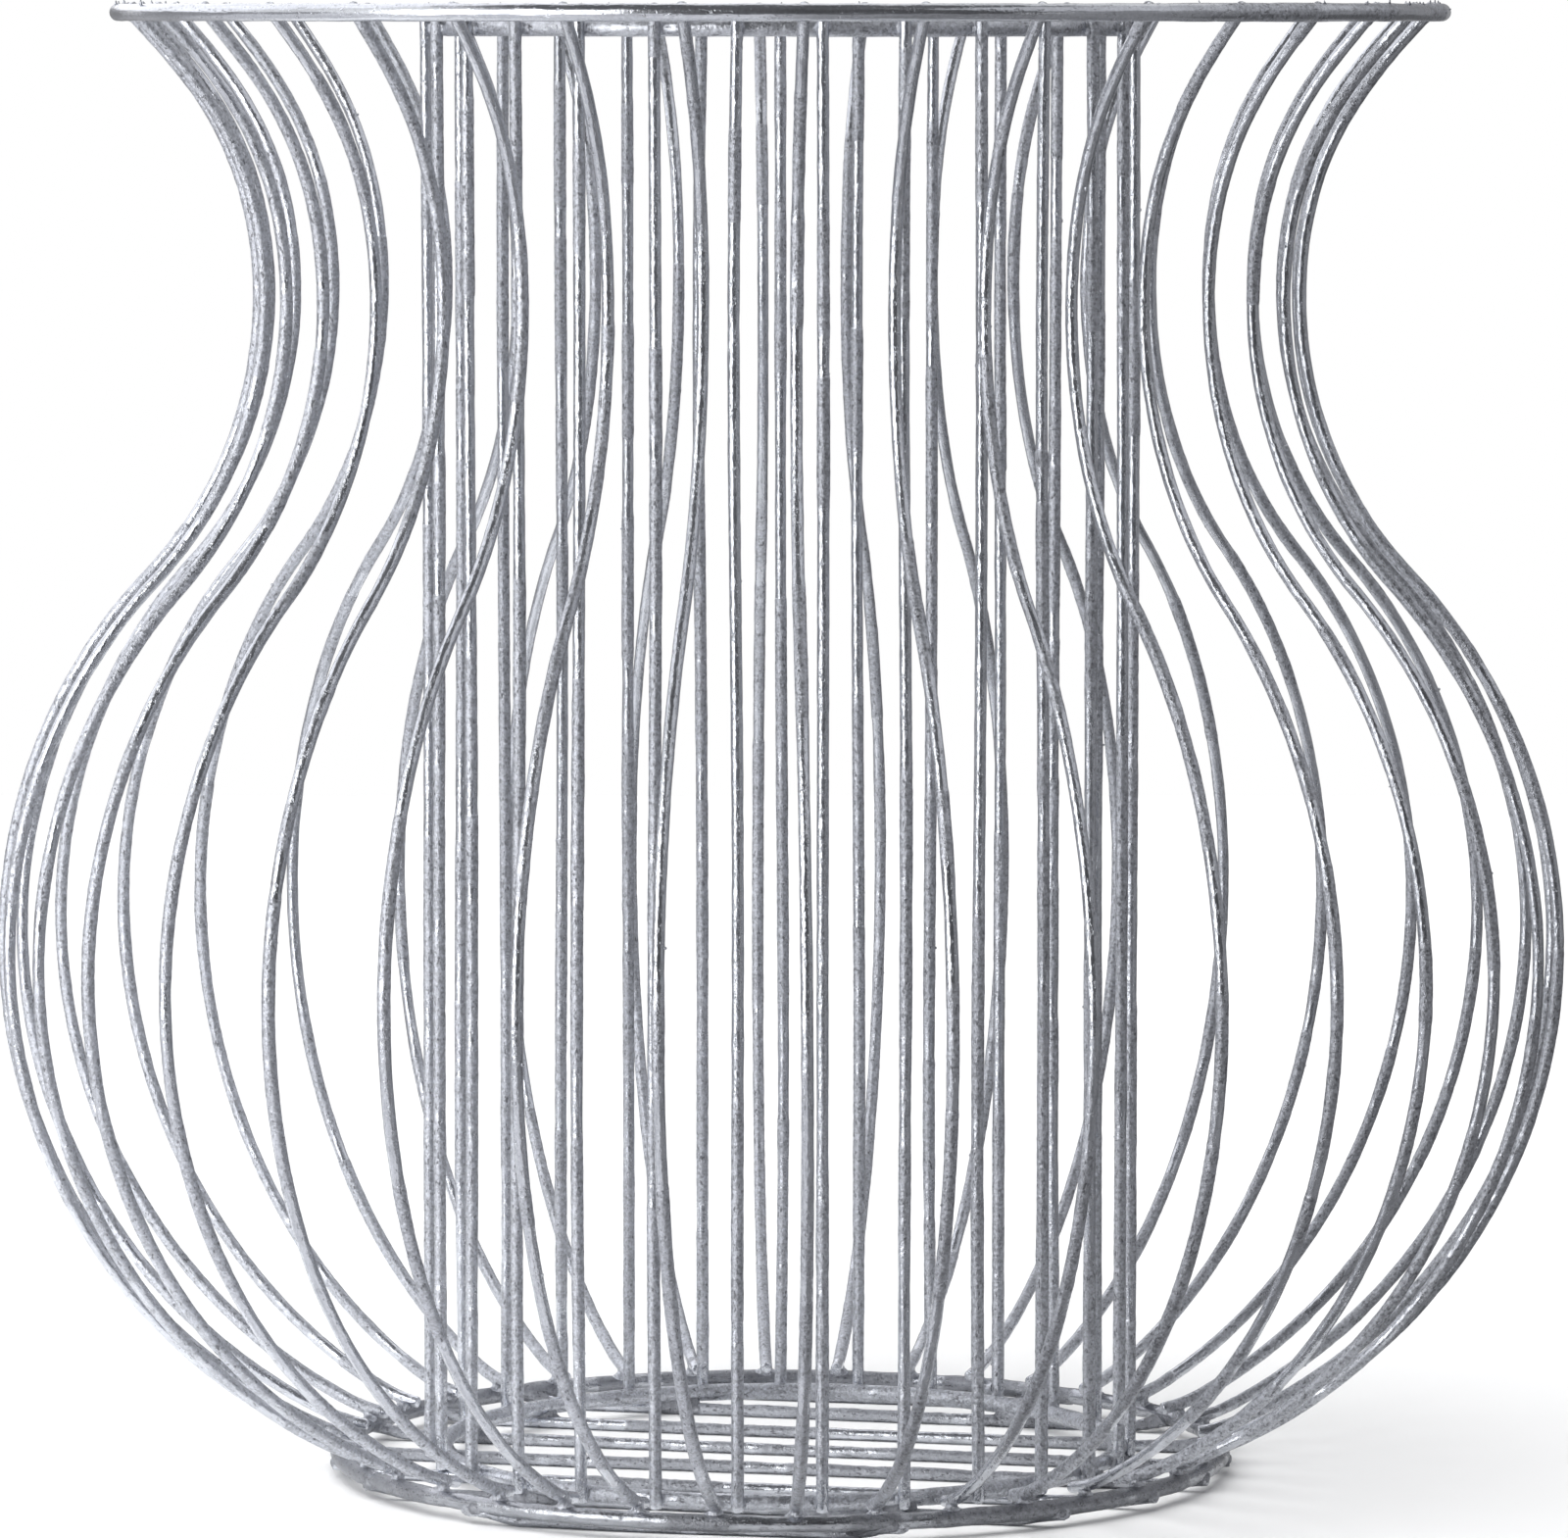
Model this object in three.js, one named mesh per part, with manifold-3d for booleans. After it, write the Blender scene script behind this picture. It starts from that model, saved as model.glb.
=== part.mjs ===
// Double-walled wire plant basket in galvanised steel, all welded.
// Bulged outer wall: bent ribs from a rim ring down to a base grille.
// Straight inner cage: uprights round two rings, standing on the grille, for the pot.
// Millimetres, +Z up, origin on the axis at the level that the basket stands on, front towards -Y.
import * as THREE from "three";
import { mergeVertices } from "three/addons/utils/BufferGeometryUtils.js";
import Module from "manifold-3d";

// Wire diameters
const RIB_WIRE = 3.0;
const UPRIGHT_WIRE = 3.0;
const CROSS_WIRE = 3.0;
const RIM_WIRE = 4.3;
const BASE_RING_WIRE = 4.2;
const INNER_RING_WIRE = 4.2;

// Outer wall, all at wire centre lines
const RIM_RADIUS = 166.8;
const RIM_HEIGHT = 371;
const NECK_RADIUS = 131.9;
const NECK_DROP = 71; // neck below the rim
const BELLY_RADIUS = 197.7;
const BELLY_HEIGHT = 135.5;
const RIB_COUNT = 36;
const RIB_TURN_DEG = 2; // first rib, round from the front
const RIB_TIP_RISE = 0.6; // rib tip above the top of the rim wire
const RIB_FOOT_OVERHANG = 4.5; // rib foot past its seat on the base ring

// Inner cage, centre lines
const INNER_RING_RADIUS = 86.3;
const INNER_TOP_DROP = 3.8; // inner top ring below the rim
const UPRIGHT_COUNT = 27;
const UPRIGHT_TURN_DEG = 180; // first upright, at the back
const FRAME_EVERY = 3; // each third upright is one with the inner base ring
const UPRIGHT_TIP_RISE = 0.5; // upright above the top of the inner top ring

// Base grille
const BASE_STANDOFF = 26.7; // outer base ring out from the inner base ring
const CROSS_COUNT = 8;
const CROSS_EDGE_INSET = 11.5; // outermost cross wire in from the base ring
const CROSS_END = 1.5; // cross wire past the base ring's centre line
const CROSS_TURN_DEG = -13.6; // right ends of the cross wires lie nearer the front

// Weld seats
const WELD_GAP = 0.3; // clearance between two wires that touch
const WELD_SINK = 0.4; // how far crossing wires are set into each other
const RIM_SINK = 1.4; // how far a rib is set into the rim

// Shares that set the rib's free curves
const INFLECTION_SHARE = 0.43; // hollow neck bow as a share of the way from neck to belly
const FLARE_LEAN = 1.55; // lean of the rib at the rim against the lean from neck to rim
const FLARE_NECK_HANDLE = 0.58; // spline handles as shares of the height of the flare
const FLARE_RIM_HANDLE = 0.25;

// Facets
const RIB_SIDES = 6;
const RIB_STEPS = 17;
const WIRE_SIDES = 8;
const UPRIGHT_SIDES = 6;
const RING_SIDES = 8;
const OUTER_RING_SEGMENTS = 2 * RIB_COUNT;
const INNER_RING_SEGMENTS = 2 * UPRIGHT_COUNT;
const MERGE_DISTANCE = 1e-3;

// Places that follow from the sizes above
const NECK_HEIGHT = RIM_HEIGHT - NECK_DROP;
const BASE_RING_RADIUS = INNER_RING_RADIUS + BASE_STANDOFF;
const BASE_RING_HEIGHT = CROSS_WIRE - WELD_SINK + BASE_RING_WIRE / 2;
const INNER_BASE_HEIGHT = CROSS_WIRE + WELD_GAP + INNER_RING_WIRE / 2;
const INNER_TOP_HEIGHT = RIM_HEIGHT - INNER_TOP_DROP;
const UPRIGHT_RADIUS = INNER_RING_RADIUS + (INNER_RING_WIRE + UPRIGHT_WIRE) / 2 - WELD_SINK;
const UPRIGHT_FOOT = CROSS_WIRE + WELD_GAP;
const UPRIGHT_TOP = INNER_TOP_HEIGHT + INNER_RING_WIRE / 2 + UPRIGHT_TIP_RISE;
const RIB_TO_BASE_RING = (BASE_RING_WIRE + RIB_WIRE) / 2 + WELD_GAP;
const RIB_TO_RIM = (RIM_WIRE + RIB_WIRE) / 2 - RIM_SINK;

const wasm = await Module();
wasm.setup();

// A closed geometry as a solid that can be joined and cut.
function solidOf(geometry) {
  const bare = geometry.clone();
  bare.deleteAttribute("normal");
  bare.deleteAttribute("uv");
  const merged = mergeVertices(bare, MERGE_DISTANCE);
  const mesh = new wasm.Mesh({
    numProp: 3,
    vertProperties: merged.attributes.position.array,
    triVerts: new Uint32Array(merged.index.array),
  });
  return new wasm.Manifold(mesh);
}

// The solid back as a geometry with flat facets.
function geometryOf(solid) {
  const mesh = solid.getMesh();
  const shared = new THREE.BufferGeometry();
  shared.setAttribute("position", new THREE.BufferAttribute(mesh.vertProperties, 3));
  shared.setIndex(new THREE.BufferAttribute(mesh.triVerts, 1));
  const faceted = shared.toNonIndexed();
  faceted.computeVertexNormals();
  return faceted;
}

// Centre to corner of a wire's section that measures its diameter across the flats.
function cornerRadius(wire, sides) {
  return wire / 2 / Math.cos(Math.PI / sides);
}

// A ring of wire round the axis, with flats up, down, in and out, and one of its facets at the front.
function ringGeometry(radius, height, wire, segments) {
  const corner = cornerRadius(wire, RING_SIDES);
  const halfFacet = Math.PI / segments;
  const profile = [];
  for (let i = 0; i <= RING_SIDES; i += 1) {
    const angle = ((i + 0.5) / RING_SIDES) * 2 * Math.PI;
    const out = (radius + corner * Math.cos(angle)) / Math.cos(halfFacet);
    profile.push(new THREE.Vector2(out, height + corner * Math.sin(angle)));
  }
  return new THREE.LatheGeometry(profile, segments, halfFacet).rotateX(Math.PI / 2);
}

// A straight wire along Y, centred, with flats up and down.
function wireGeometry(wire, length, sides) {
  const corner = cornerRadius(wire, sides);
  return new THREE.CylinderGeometry(corner, corner, length, sides).rotateY(Math.PI / sides);
}

// A line drawn in radius and height, stood up in the plane of the axis and the front.
class FrontPlaneCurve extends THREE.Curve {
  constructor(line) {
    super();
    this.line = line;
  }

  getPoint(t, target = new THREE.Vector3()) {
    const point = this.line.getPoint(t);
    return target.set(0, -point.x, point.y);
  }
}

// The rib's centre line in radius and height, from its foot up to its tip.
function ribLine() {
  const line = new THREE.CurvePath();

  // Lower belly: one arc, upright at the widest point and lying on the base ring.
  const inward = BELLY_RADIUS - BASE_RING_RADIUS;
  const down = BELLY_HEIGHT - BASE_RING_HEIGHT;
  const reach = inward ** 2 + down ** 2 - RIB_TO_BASE_RING ** 2;
  const lowerArc = reach / (2 * (inward + RIB_TO_BASE_RING));
  const lowerCentre = BELLY_RADIUS - lowerArc;
  const seatAngle = Math.atan2(down, BASE_RING_RADIUS - lowerCentre);
  const footAngle = seatAngle + RIB_FOOT_OVERHANG / lowerArc;
  line.add(new THREE.EllipseCurve(lowerCentre, BELLY_HEIGHT, lowerArc, lowerArc, -footAngle, 0));

  // Upper belly and neck: two tangent arcs, upright at the widest point and at the neck.
  const spread = BELLY_RADIUS - NECK_RADIUS;
  const rise = NECK_HEIGHT - BELLY_HEIGHT;
  const bothArcs = (spread ** 2 + rise ** 2) / (2 * spread);
  const neckArc = bothArcs * INFLECTION_SHARE;
  const upperArc = bothArcs - neckArc;
  const bend = 2 * Math.atan2(spread, rise);
  const upperCentre = BELLY_RADIUS - upperArc;
  const neckCentre = NECK_RADIUS + neckArc;
  const neckStart = Math.PI + bend;
  line.add(new THREE.EllipseCurve(upperCentre, BELLY_HEIGHT, upperArc, upperArc, 0, bend));
  line.add(
    new THREE.EllipseCurve(neckCentre, NECK_HEIGHT, neckArc, neckArc, neckStart, Math.PI, true),
  );

  // Flare: upright at the neck, leaning out where it passes the inner side of the rim.
  const lean = FLARE_LEAN * Math.atan2(RIM_RADIUS - NECK_RADIUS, NECK_DROP);
  const along = new THREE.Vector2(Math.sin(lean), Math.cos(lean));
  const inside = new THREE.Vector2(-Math.cos(lean), Math.sin(lean));
  const rim = new THREE.Vector2(RIM_RADIUS, RIM_HEIGHT);
  const atRim = rim.clone().addScaledVector(inside, RIB_TO_RIM);
  const neck = new THREE.Vector2(NECK_RADIUS, NECK_HEIGHT);
  const neckHandle = new THREE.Vector2(NECK_RADIUS, NECK_HEIGHT + FLARE_NECK_HANDLE * NECK_DROP);
  const rimHandle = atRim.clone().addScaledVector(along, -FLARE_RIM_HANDLE * NECK_DROP);

  // The tip stands just above the rim: its highest corner is the inner one of its square end.
  const tipTop = RIM_HEIGHT + RIM_WIRE / 2 + RIB_TIP_RISE;
  const tipHeight = tipTop - (RIB_WIRE / 2) * Math.sin(lean);
  const tip = atRim.clone().addScaledVector(along, (tipHeight - atRim.y) / along.y);
  line.add(new THREE.CubicBezierCurve(neck, neckHandle, rimHandle, tip));
  return line;
}

// One rib at the front, with the seat that the rim is set into.
function ribGeometry() {
  const corner = cornerRadius(RIB_WIRE, RIB_SIDES);
  const section = new THREE.Shape();
  for (let i = 0; i < RIB_SIDES; i += 1) {
    const angle = (i / RIB_SIDES) * 2 * Math.PI;
    const point = new THREE.Vector2(corner * Math.cos(angle), corner * Math.sin(angle));
    if (i === 0) section.moveTo(point.x, point.y);
    else section.lineTo(point.x, point.y);
  }
  const extrudePath = new FrontPlaneCurve(ribLine());
  const wire = new THREE.ExtrudeGeometry(section, { steps: RIB_STEPS, extrudePath });
  const seat = ringGeometry(RIM_RADIUS, RIM_HEIGHT, RIM_WIRE + 2 * WELD_GAP, OUTER_RING_SEGMENTS);
  return geometryOf(solidOf(wire).subtract(solidOf(seat)));
}

// One plain upright at the front of the inner cage.
function plainUpright() {
  const length = UPRIGHT_TOP - UPRIGHT_FOOT;
  const wire = wireGeometry(UPRIGHT_WIRE, length, UPRIGHT_SIDES).rotateX(Math.PI / 2);
  return wire.translate(0, -UPRIGHT_RADIUS, UPRIGHT_FOOT + length / 2);
}

// The room that a ring of the inner cage takes in an upright that is welded to it.
function innerRingSeat(height) {
  const wire = INNER_RING_WIRE + 2 * WELD_GAP;
  return solidOf(ringGeometry(INNER_RING_RADIUS, height, wire, INNER_RING_SEGMENTS));
}

// One loose upright at the front, with a seat for each inner ring.
function uprightGeometry() {
  const seated = solidOf(plainUpright()).subtract(innerRingSeat(INNER_TOP_HEIGHT));
  return geometryOf(seated.subtract(innerRingSeat(INNER_BASE_HEIGHT)));
}

// Angle of a wire round the axis from the front, in radians.
function turnOf(index, count, firstDegrees) {
  return THREE.MathUtils.degToRad(firstDegrees) + (index / count) * 2 * Math.PI;
}

// The inner base ring with every third upright welded on, which holds the cage in shape.
function cageFrameGeometry() {
  const ring = ringGeometry(
    INNER_RING_RADIUS, INNER_BASE_HEIGHT, INNER_RING_WIRE, INNER_RING_SEGMENTS,
  );
  const upright = geometryOf(solidOf(plainUpright()).subtract(innerRingSeat(INNER_TOP_HEIGHT)));
  let frame = solidOf(ring.rotateZ(turnOf(0, UPRIGHT_COUNT, UPRIGHT_TURN_DEG)));
  for (let i = 0; i < UPRIGHT_COUNT; i += FRAME_EVERY) {
    const placed = upright.clone().rotateZ(turnOf(i, UPRIGHT_COUNT, UPRIGHT_TURN_DEG));
    frame = frame.add(solidOf(placed));
  }
  return geometryOf(frame);
}

// The outer base ring with the parallel cross wires welded under it.
function baseGrilleGeometry() {
  const ring = ringGeometry(
    BASE_RING_RADIUS, BASE_RING_HEIGHT, BASE_RING_WIRE, OUTER_RING_SEGMENTS,
  );
  const outermost = BASE_RING_RADIUS - CROSS_EDGE_INSET;
  const spacing = (2 * outermost) / (CROSS_COUNT - 1);
  let grille = solidOf(ring.rotateZ(turnOf(0, RIB_COUNT, RIB_TURN_DEG)));
  for (let i = 0; i < CROSS_COUNT; i += 1) {
    const offset = i * spacing - outermost;
    const halfLength = Math.sqrt((BASE_RING_RADIUS + CROSS_END) ** 2 - offset ** 2);
    const wire = wireGeometry(CROSS_WIRE, 2 * halfLength, WIRE_SIDES);
    wire.rotateZ(Math.PI / 2);
    wire.translate(0, offset, CROSS_WIRE / 2);
    wire.rotateZ(THREE.MathUtils.degToRad(CROSS_TURN_DEG));
    grille = grille.add(solidOf(wire));
  }
  return geometryOf(grille);
}

// Dull zinc of a hot-dip galvanised wire.
function zinc() {
  return new THREE.MeshStandardMaterial({ color: 0x9b9fa4, roughness: 0.5, metalness: 0.8 });
}

function addPiece(name, geometry, turn = 0) {
  const piece = new THREE.Mesh(geometry, zinc());
  piece.name = name;
  piece.rotation.z = turn;
  basket.add(piece);
}

const basket = new THREE.Group();

addPiece(
  "rim_ring",
  ringGeometry(RIM_RADIUS, RIM_HEIGHT, RIM_WIRE, OUTER_RING_SEGMENTS),
  turnOf(0, RIB_COUNT, RIB_TURN_DEG),
);
const rib = ribGeometry();
for (let i = 0; i < RIB_COUNT; i += 1) {
  const number = String(i + 1).padStart(2, "0");
  addPiece(`outer_rib_${number}`, rib, turnOf(i, RIB_COUNT, RIB_TURN_DEG));
}
addPiece("base_grille", baseGrilleGeometry());
addPiece("inner_cage_frame", cageFrameGeometry());
addPiece(
  "inner_top_ring",
  ringGeometry(INNER_RING_RADIUS, INNER_TOP_HEIGHT, INNER_RING_WIRE, INNER_RING_SEGMENTS),
  turnOf(0, UPRIGHT_COUNT, UPRIGHT_TURN_DEG),
);
const upright = uprightGeometry();
for (let i = 0; i < UPRIGHT_COUNT; i += 1) {
  if (i % FRAME_EVERY === 0) continue;
  const number = String(i + 1).padStart(2, "0");
  addPiece(`inner_upright_${number}`, upright, turnOf(i, UPRIGHT_COUNT, UPRIGHT_TURN_DEG));
}

export default basket;
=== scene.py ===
"""Galvanised finish of a double-walled wire plant basket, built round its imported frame.

Each wire is drawn again as a round, hand-dipped wire: slightly bowed, under a zinc coat of uneven
thickness with dull runs and nubs. Weld beads sit where wires meet. Metres, +Z up, front at -Y.
"""

import logging
import math
import random
from collections.abc import Iterable, Sequence
from dataclasses import dataclass, field, replace
from enum import Enum

import bmesh
import bpy
import numpy as np
from mathutils import Matrix, Vector, noise


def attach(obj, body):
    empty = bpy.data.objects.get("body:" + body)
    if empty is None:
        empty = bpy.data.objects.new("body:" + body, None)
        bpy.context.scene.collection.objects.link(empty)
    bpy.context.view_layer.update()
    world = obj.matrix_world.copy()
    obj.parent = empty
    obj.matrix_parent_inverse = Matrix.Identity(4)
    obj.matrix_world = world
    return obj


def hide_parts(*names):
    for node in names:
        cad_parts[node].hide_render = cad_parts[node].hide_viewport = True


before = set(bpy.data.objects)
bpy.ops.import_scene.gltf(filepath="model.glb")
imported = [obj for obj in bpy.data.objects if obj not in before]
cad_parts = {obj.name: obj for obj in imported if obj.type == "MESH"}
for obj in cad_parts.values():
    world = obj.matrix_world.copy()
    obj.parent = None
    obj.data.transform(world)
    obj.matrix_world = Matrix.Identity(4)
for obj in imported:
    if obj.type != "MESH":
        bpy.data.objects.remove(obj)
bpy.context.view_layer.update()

LOG = logging.getLogger("basket")
FULL_TURN = 2 * math.pi
BODY = "root"
DULL = "dull"
DRAWN = "drawn"
STATION = "station"
FRONT = Vector((0.0, -1.0, 0.0))
RIGHT = Vector((1.0, 0.0, 0.0))
UP = Vector((0.0, 0.0, 1.0))
SEAM_MERGE = 0.001

Span = tuple[float, float]
Place = tuple[float, float, float]
Colour = tuple[float, float, float, float]


# Sizes and centre lines


@dataclass(frozen=True)
class BasketSizes:
    """Driving sizes of the basket at its wire centre lines, in metres and radians."""

    rib_wire: float = 0.0030
    upright_wire: float = 0.0030
    cross_wire: float = 0.0030
    rim_wire: float = 0.0043
    base_ring_wire: float = 0.0042
    inner_ring_wire: float = 0.0042
    rim_radius: float = 0.1668
    rim_height: float = 0.3710
    neck_radius: float = 0.1319
    neck_drop: float = 0.0710
    belly_radius: float = 0.1977
    belly_height: float = 0.1355
    rib_count: int = 36
    rib_turn: float = math.radians(2.0)
    rib_tip_rise: float = 0.0006
    rib_foot_overhang: float = 0.0045
    inner_ring_radius: float = 0.0863
    inner_top_drop: float = 0.0038
    upright_count: int = 27
    upright_turn: float = math.radians(180.0)
    frame_every: int = 3
    upright_tip_rise: float = 0.0005
    base_standoff: float = 0.0267
    cross_count: int = 8
    cross_edge_inset: float = 0.0115
    cross_end: float = 0.0015
    cross_turn: float = math.radians(-13.6)
    weld_gap: float = 0.0003
    weld_sink: float = 0.0004
    rim_sink: float = 0.0014
    inflection_share: float = 0.43
    flare_lean: float = 1.55
    flare_neck_handle: float = 0.58
    flare_rim_handle: float = 0.25

    @property
    def neck_height(self) -> float:
        """Height of the narrowest place of the wall."""
        return self.rim_height - self.neck_drop

    @property
    def base_ring_radius(self) -> float:
        """Radius of the outer base ring."""
        return self.inner_ring_radius + self.base_standoff

    @property
    def base_ring_height(self) -> float:
        """Height of the outer base ring, set a little into the cross wires."""
        return self.cross_wire - self.weld_sink + self.base_ring_wire / 2

    @property
    def inner_base_height(self) -> float:
        """Height of the inner base ring, on the cross wires."""
        return self.cross_wire + self.weld_gap + self.inner_ring_wire / 2

    @property
    def inner_top_height(self) -> float:
        """Height of the inner top ring."""
        return self.rim_height - self.inner_top_drop

    @property
    def upright_radius(self) -> float:
        """Radius that the uprights stand on, outside the inner rings."""
        return self.inner_ring_radius + (self.inner_ring_wire + self.upright_wire) / 2 - self.weld_sink

    @property
    def upright_foot(self) -> float:
        """Height of an upright's lower end."""
        return self.cross_wire + self.weld_gap

    @property
    def upright_top(self) -> float:
        """Height of an upright's upper end."""
        return self.inner_top_height + self.inner_ring_wire / 2 + self.upright_tip_rise

    @property
    def rib_to_base_ring(self) -> float:
        """Distance between the centre lines of a rib and the outer base ring at their weld."""
        return (self.base_ring_wire + self.rib_wire) / 2 + self.weld_gap

    @property
    def rib_to_rim(self) -> float:
        """Distance between the centre lines of a rib and the rim at their weld."""
        return (self.rim_wire + self.rib_wire) / 2 - self.rim_sink

    @property
    def outermost_cross(self) -> float:
        """Distance of the outermost cross wire from the axis."""
        return self.base_ring_radius - self.cross_edge_inset

    def cross_offset(self, index: int) -> float:
        """Distance of a cross wire behind the axis, in the grille's turned frame."""
        return index * 2 * self.outermost_cross / (self.cross_count - 1) - self.outermost_cross

    def cross_half(self, index: int) -> float:
        """Half the length of a cross wire."""
        return math.sqrt((self.base_ring_radius + self.cross_end) ** 2 - self.cross_offset(index) ** 2)

    def rib_angle(self, index: int) -> float:
        """Angle of a rib round the axis from the front."""
        return self.rib_turn + index * FULL_TURN / self.rib_count

    def upright_angle(self, index: int) -> float:
        """Angle of an upright round the axis from the front."""
        return self.upright_turn + index * FULL_TURN / self.upright_count


def on_circle(radius: float, angle: float, height: float) -> Vector:
    """Point on a circle round the axis.

    Args:
        radius: Radius of the circle.
        angle: Angle from the front, positive to the right.
        height: Height of the circle.

    Returns:
        The point.
    """
    return Vector((radius * math.sin(angle), -radius * math.cos(angle), height))


def smooth_step(value: np.ndarray) -> np.ndarray:
    """Ease a ramp from 0 to 1 in and out."""
    ramp = np.clip(value, 0.0, 1.0)
    return ramp * ramp * (3.0 - 2.0 * ramp)


@dataclass(frozen=True)
class RibLine:
    """Centre line of a rib in the front plane: two belly arcs, a neck arc and a flare."""

    sizes: BasketSizes
    arc_points: int = 160
    foot_lift: float = 0.0014
    foot_bend: float = 0.0125

    @property
    def lower_arc(self) -> float:
        """Radius of the arc from the widest place down to the base ring.

        Returns:
            The radius at which the arc lies on the ring.
        """
        size = self.sizes
        inward = size.belly_radius - size.base_ring_radius
        down = size.belly_height - size.base_ring_height
        reach = inward**2 + down**2 - size.rib_to_base_ring**2
        return reach / (2 * (inward + size.rib_to_base_ring))

    @property
    def seat_angle(self) -> float:
        """Angle down the lower arc at which the rib lies on the base ring.

        Returns:
            The angle below the widest place.
        """
        size = self.sizes
        centre = size.belly_radius - self.lower_arc
        return math.atan2(size.belly_height - size.base_ring_height, size.base_ring_radius - centre)

    @property
    def lean(self) -> float:
        """Lean of the rib from upright where it meets the rim."""
        size = self.sizes
        return size.flare_lean * math.atan2(size.rim_radius - size.neck_radius, size.neck_drop)

    @property
    def foot_angle(self) -> float:
        """Angle down the lower arc at which the rib ends."""
        return self.seat_angle + self.sizes.rib_foot_overhang / self.lower_arc

    @property
    def along_tip(self) -> np.ndarray:
        """Direction of the rib where it meets the rim, as out and up."""
        return np.array([math.sin(self.lean), math.cos(self.lean)])

    @property
    def at_rim(self) -> np.ndarray:
        """Place of the rib beside the rim, as radius and height."""
        inside = np.array([-math.cos(self.lean), math.sin(self.lean)])
        return np.array([self.sizes.rim_radius, self.sizes.rim_height]) + self.sizes.rib_to_rim * inside

    def on_lower_arc(self, angle: float) -> Vector:
        """Point of the lower arc, whose last stretch is bent level.

        Args:
            angle: Angle below the widest place.

        Returns:
            The point, in the front plane.
        """
        from_foot = (self.foot_angle - angle) * self.lower_arc
        rise = self.foot_lift * max(0.0, 1.0 - from_foot / self.foot_bend) ** 2
        radius = self.sizes.belly_radius - self.lower_arc * (1 - math.cos(angle))
        height = self.sizes.belly_height - self.lower_arc * math.sin(angle)
        return on_circle(radius, 0.0, height + rise)

    def from_tip(self, back: float) -> Vector:
        """Point on the line along which the rib leaves the rim.

        Args:
            back: Distance back from the tip.

        Returns:
            The point, in the front plane.
        """
        size = self.sizes
        along, at_rim = self.along_tip, self.at_rim
        top = size.rim_height + size.rim_wire / 2 + size.rib_tip_rise
        tip_height = top - size.rib_wire / 2 * math.sin(self.lean)
        radius, height = at_rim + along * ((tip_height - at_rim[1]) / along[1] - back)
        return on_circle(radius, 0.0, height)

    def path(self) -> np.ndarray:
        """Work out the whole centre line from the foot to the tip.

        Returns:
            Points in the front plane, one row each.
        """
        size = self.sizes
        share = np.linspace(0.0, 1.0, self.arc_points)[:, None]
        down = [self.on_lower_arc(self.foot_angle * float(1.0 - s)) for s in share[:, 0]]
        lower = np.array([[-point.y, point.z] for point in down])

        spread = size.belly_radius - size.neck_radius
        rise = size.neck_height - size.belly_height
        both_arcs = (spread**2 + rise**2) / (2 * spread)
        neck_arc = both_arcs * size.inflection_share
        upper_arc = both_arcs - neck_arc
        bend = 2 * math.atan2(spread, rise)
        up = bend * share
        upper = np.hstack([
            size.belly_radius - upper_arc * (1 - np.cos(up)),
            size.belly_height + upper_arc * np.sin(up),
        ])
        back = bend * (1.0 - share)
        neck = np.hstack([
            size.neck_radius + neck_arc * (1 - np.cos(back)),
            size.neck_height - neck_arc * np.sin(back),
        ])

        tip = self.from_tip(0.0)
        rim_end = np.array([-tip.y, tip.z])
        start = np.array([size.neck_radius, size.neck_height])
        first = start + np.array([0.0, size.flare_neck_handle * size.neck_drop])
        second = self.at_rim - self.along_tip * size.flare_rim_handle * size.neck_drop
        left = 1.0 - share
        flare = (
            left**3 * start + 3 * left**2 * share * first
            + 3 * left * share**2 * second + share**3 * rim_end
        )

        line = np.vstack([lower, upper[1:], neck[1:], flare[1:]])
        return np.column_stack([np.zeros(len(line)), -line[:, 0], line[:, 1]])


@dataclass(frozen=True)
class CrossLine:
    """Centre line of a cross wire, pressed up into the outer base ring at both ends."""

    sizes: BasketSizes
    index: int
    press: float = 0.0019
    bend: float = 0.013
    overcut: float = 0.004

    @property
    def half(self) -> float:
        """Half its length before its ends are cut flush with the ring."""
        return self.sizes.cross_half(self.index) + self.overcut

    def point(self, place: float) -> Vector:
        """Point of the line before the grille is turned.

        Args:
            place: Distance to the right of its middle.

        Returns:
            The point.
        """
        size = self.sizes
        from_end = size.cross_half(self.index) - abs(place)
        rise = self.press * float(smooth_step(1.0 - from_end / self.bend))
        return Vector((place, size.cross_offset(self.index), size.cross_wire / 2 + rise))


@dataclass(frozen=True)
class WireLine:
    """A wire's centre line as stations, close together at both ends for rounded edges."""

    points: np.ndarray
    along: np.ndarray
    across: Vector

    @classmethod
    def through(cls, path: np.ndarray, across: Vector, step: float, ends: Sequence[float]) -> "WireLine":
        """Space stations along a path.

        Args:
            path: Points on the centre line, one row each.
            across: A direction square to the whole line.
            step: Distance between stations.
            ends: Distances from each end of the extra stations there, from the end inwards.

        Returns:
            The line.
        """
        lengths = np.linalg.norm(np.diff(path, axis=0), axis=1)
        travelled = np.concatenate([[0.0], np.cumsum(lengths)])
        total = travelled[-1]
        inner = np.linspace(ends[-1], total - ends[-1], max(2, round((total - 2 * ends[-1]) / step)))
        tail = total - np.array(ends[:-1][::-1])
        along = np.concatenate([ends[:-1], inner, tail])
        points = np.column_stack([np.interp(along, travelled, path[:, axis]) for axis in range(3)])
        return cls(points, along, across)

    def frames(self) -> list[Matrix]:
        """Stand a frame at each station, its Z along the wire.

        Returns:
            One matrix for each station.
        """
        frames = []
        for point, tangent in zip(self.points, np.gradient(self.points, self.along, axis=0)):
            ahead = Vector(tangent).normalized()
            side = (self.across - ahead * self.across.dot(ahead)).normalized()
            turn = Matrix((side, ahead.cross(side), ahead)).transposed()
            frames.append(Matrix.Translation(point) @ turn.to_4x4())
        return frames


# Zinc coat and wires


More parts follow.
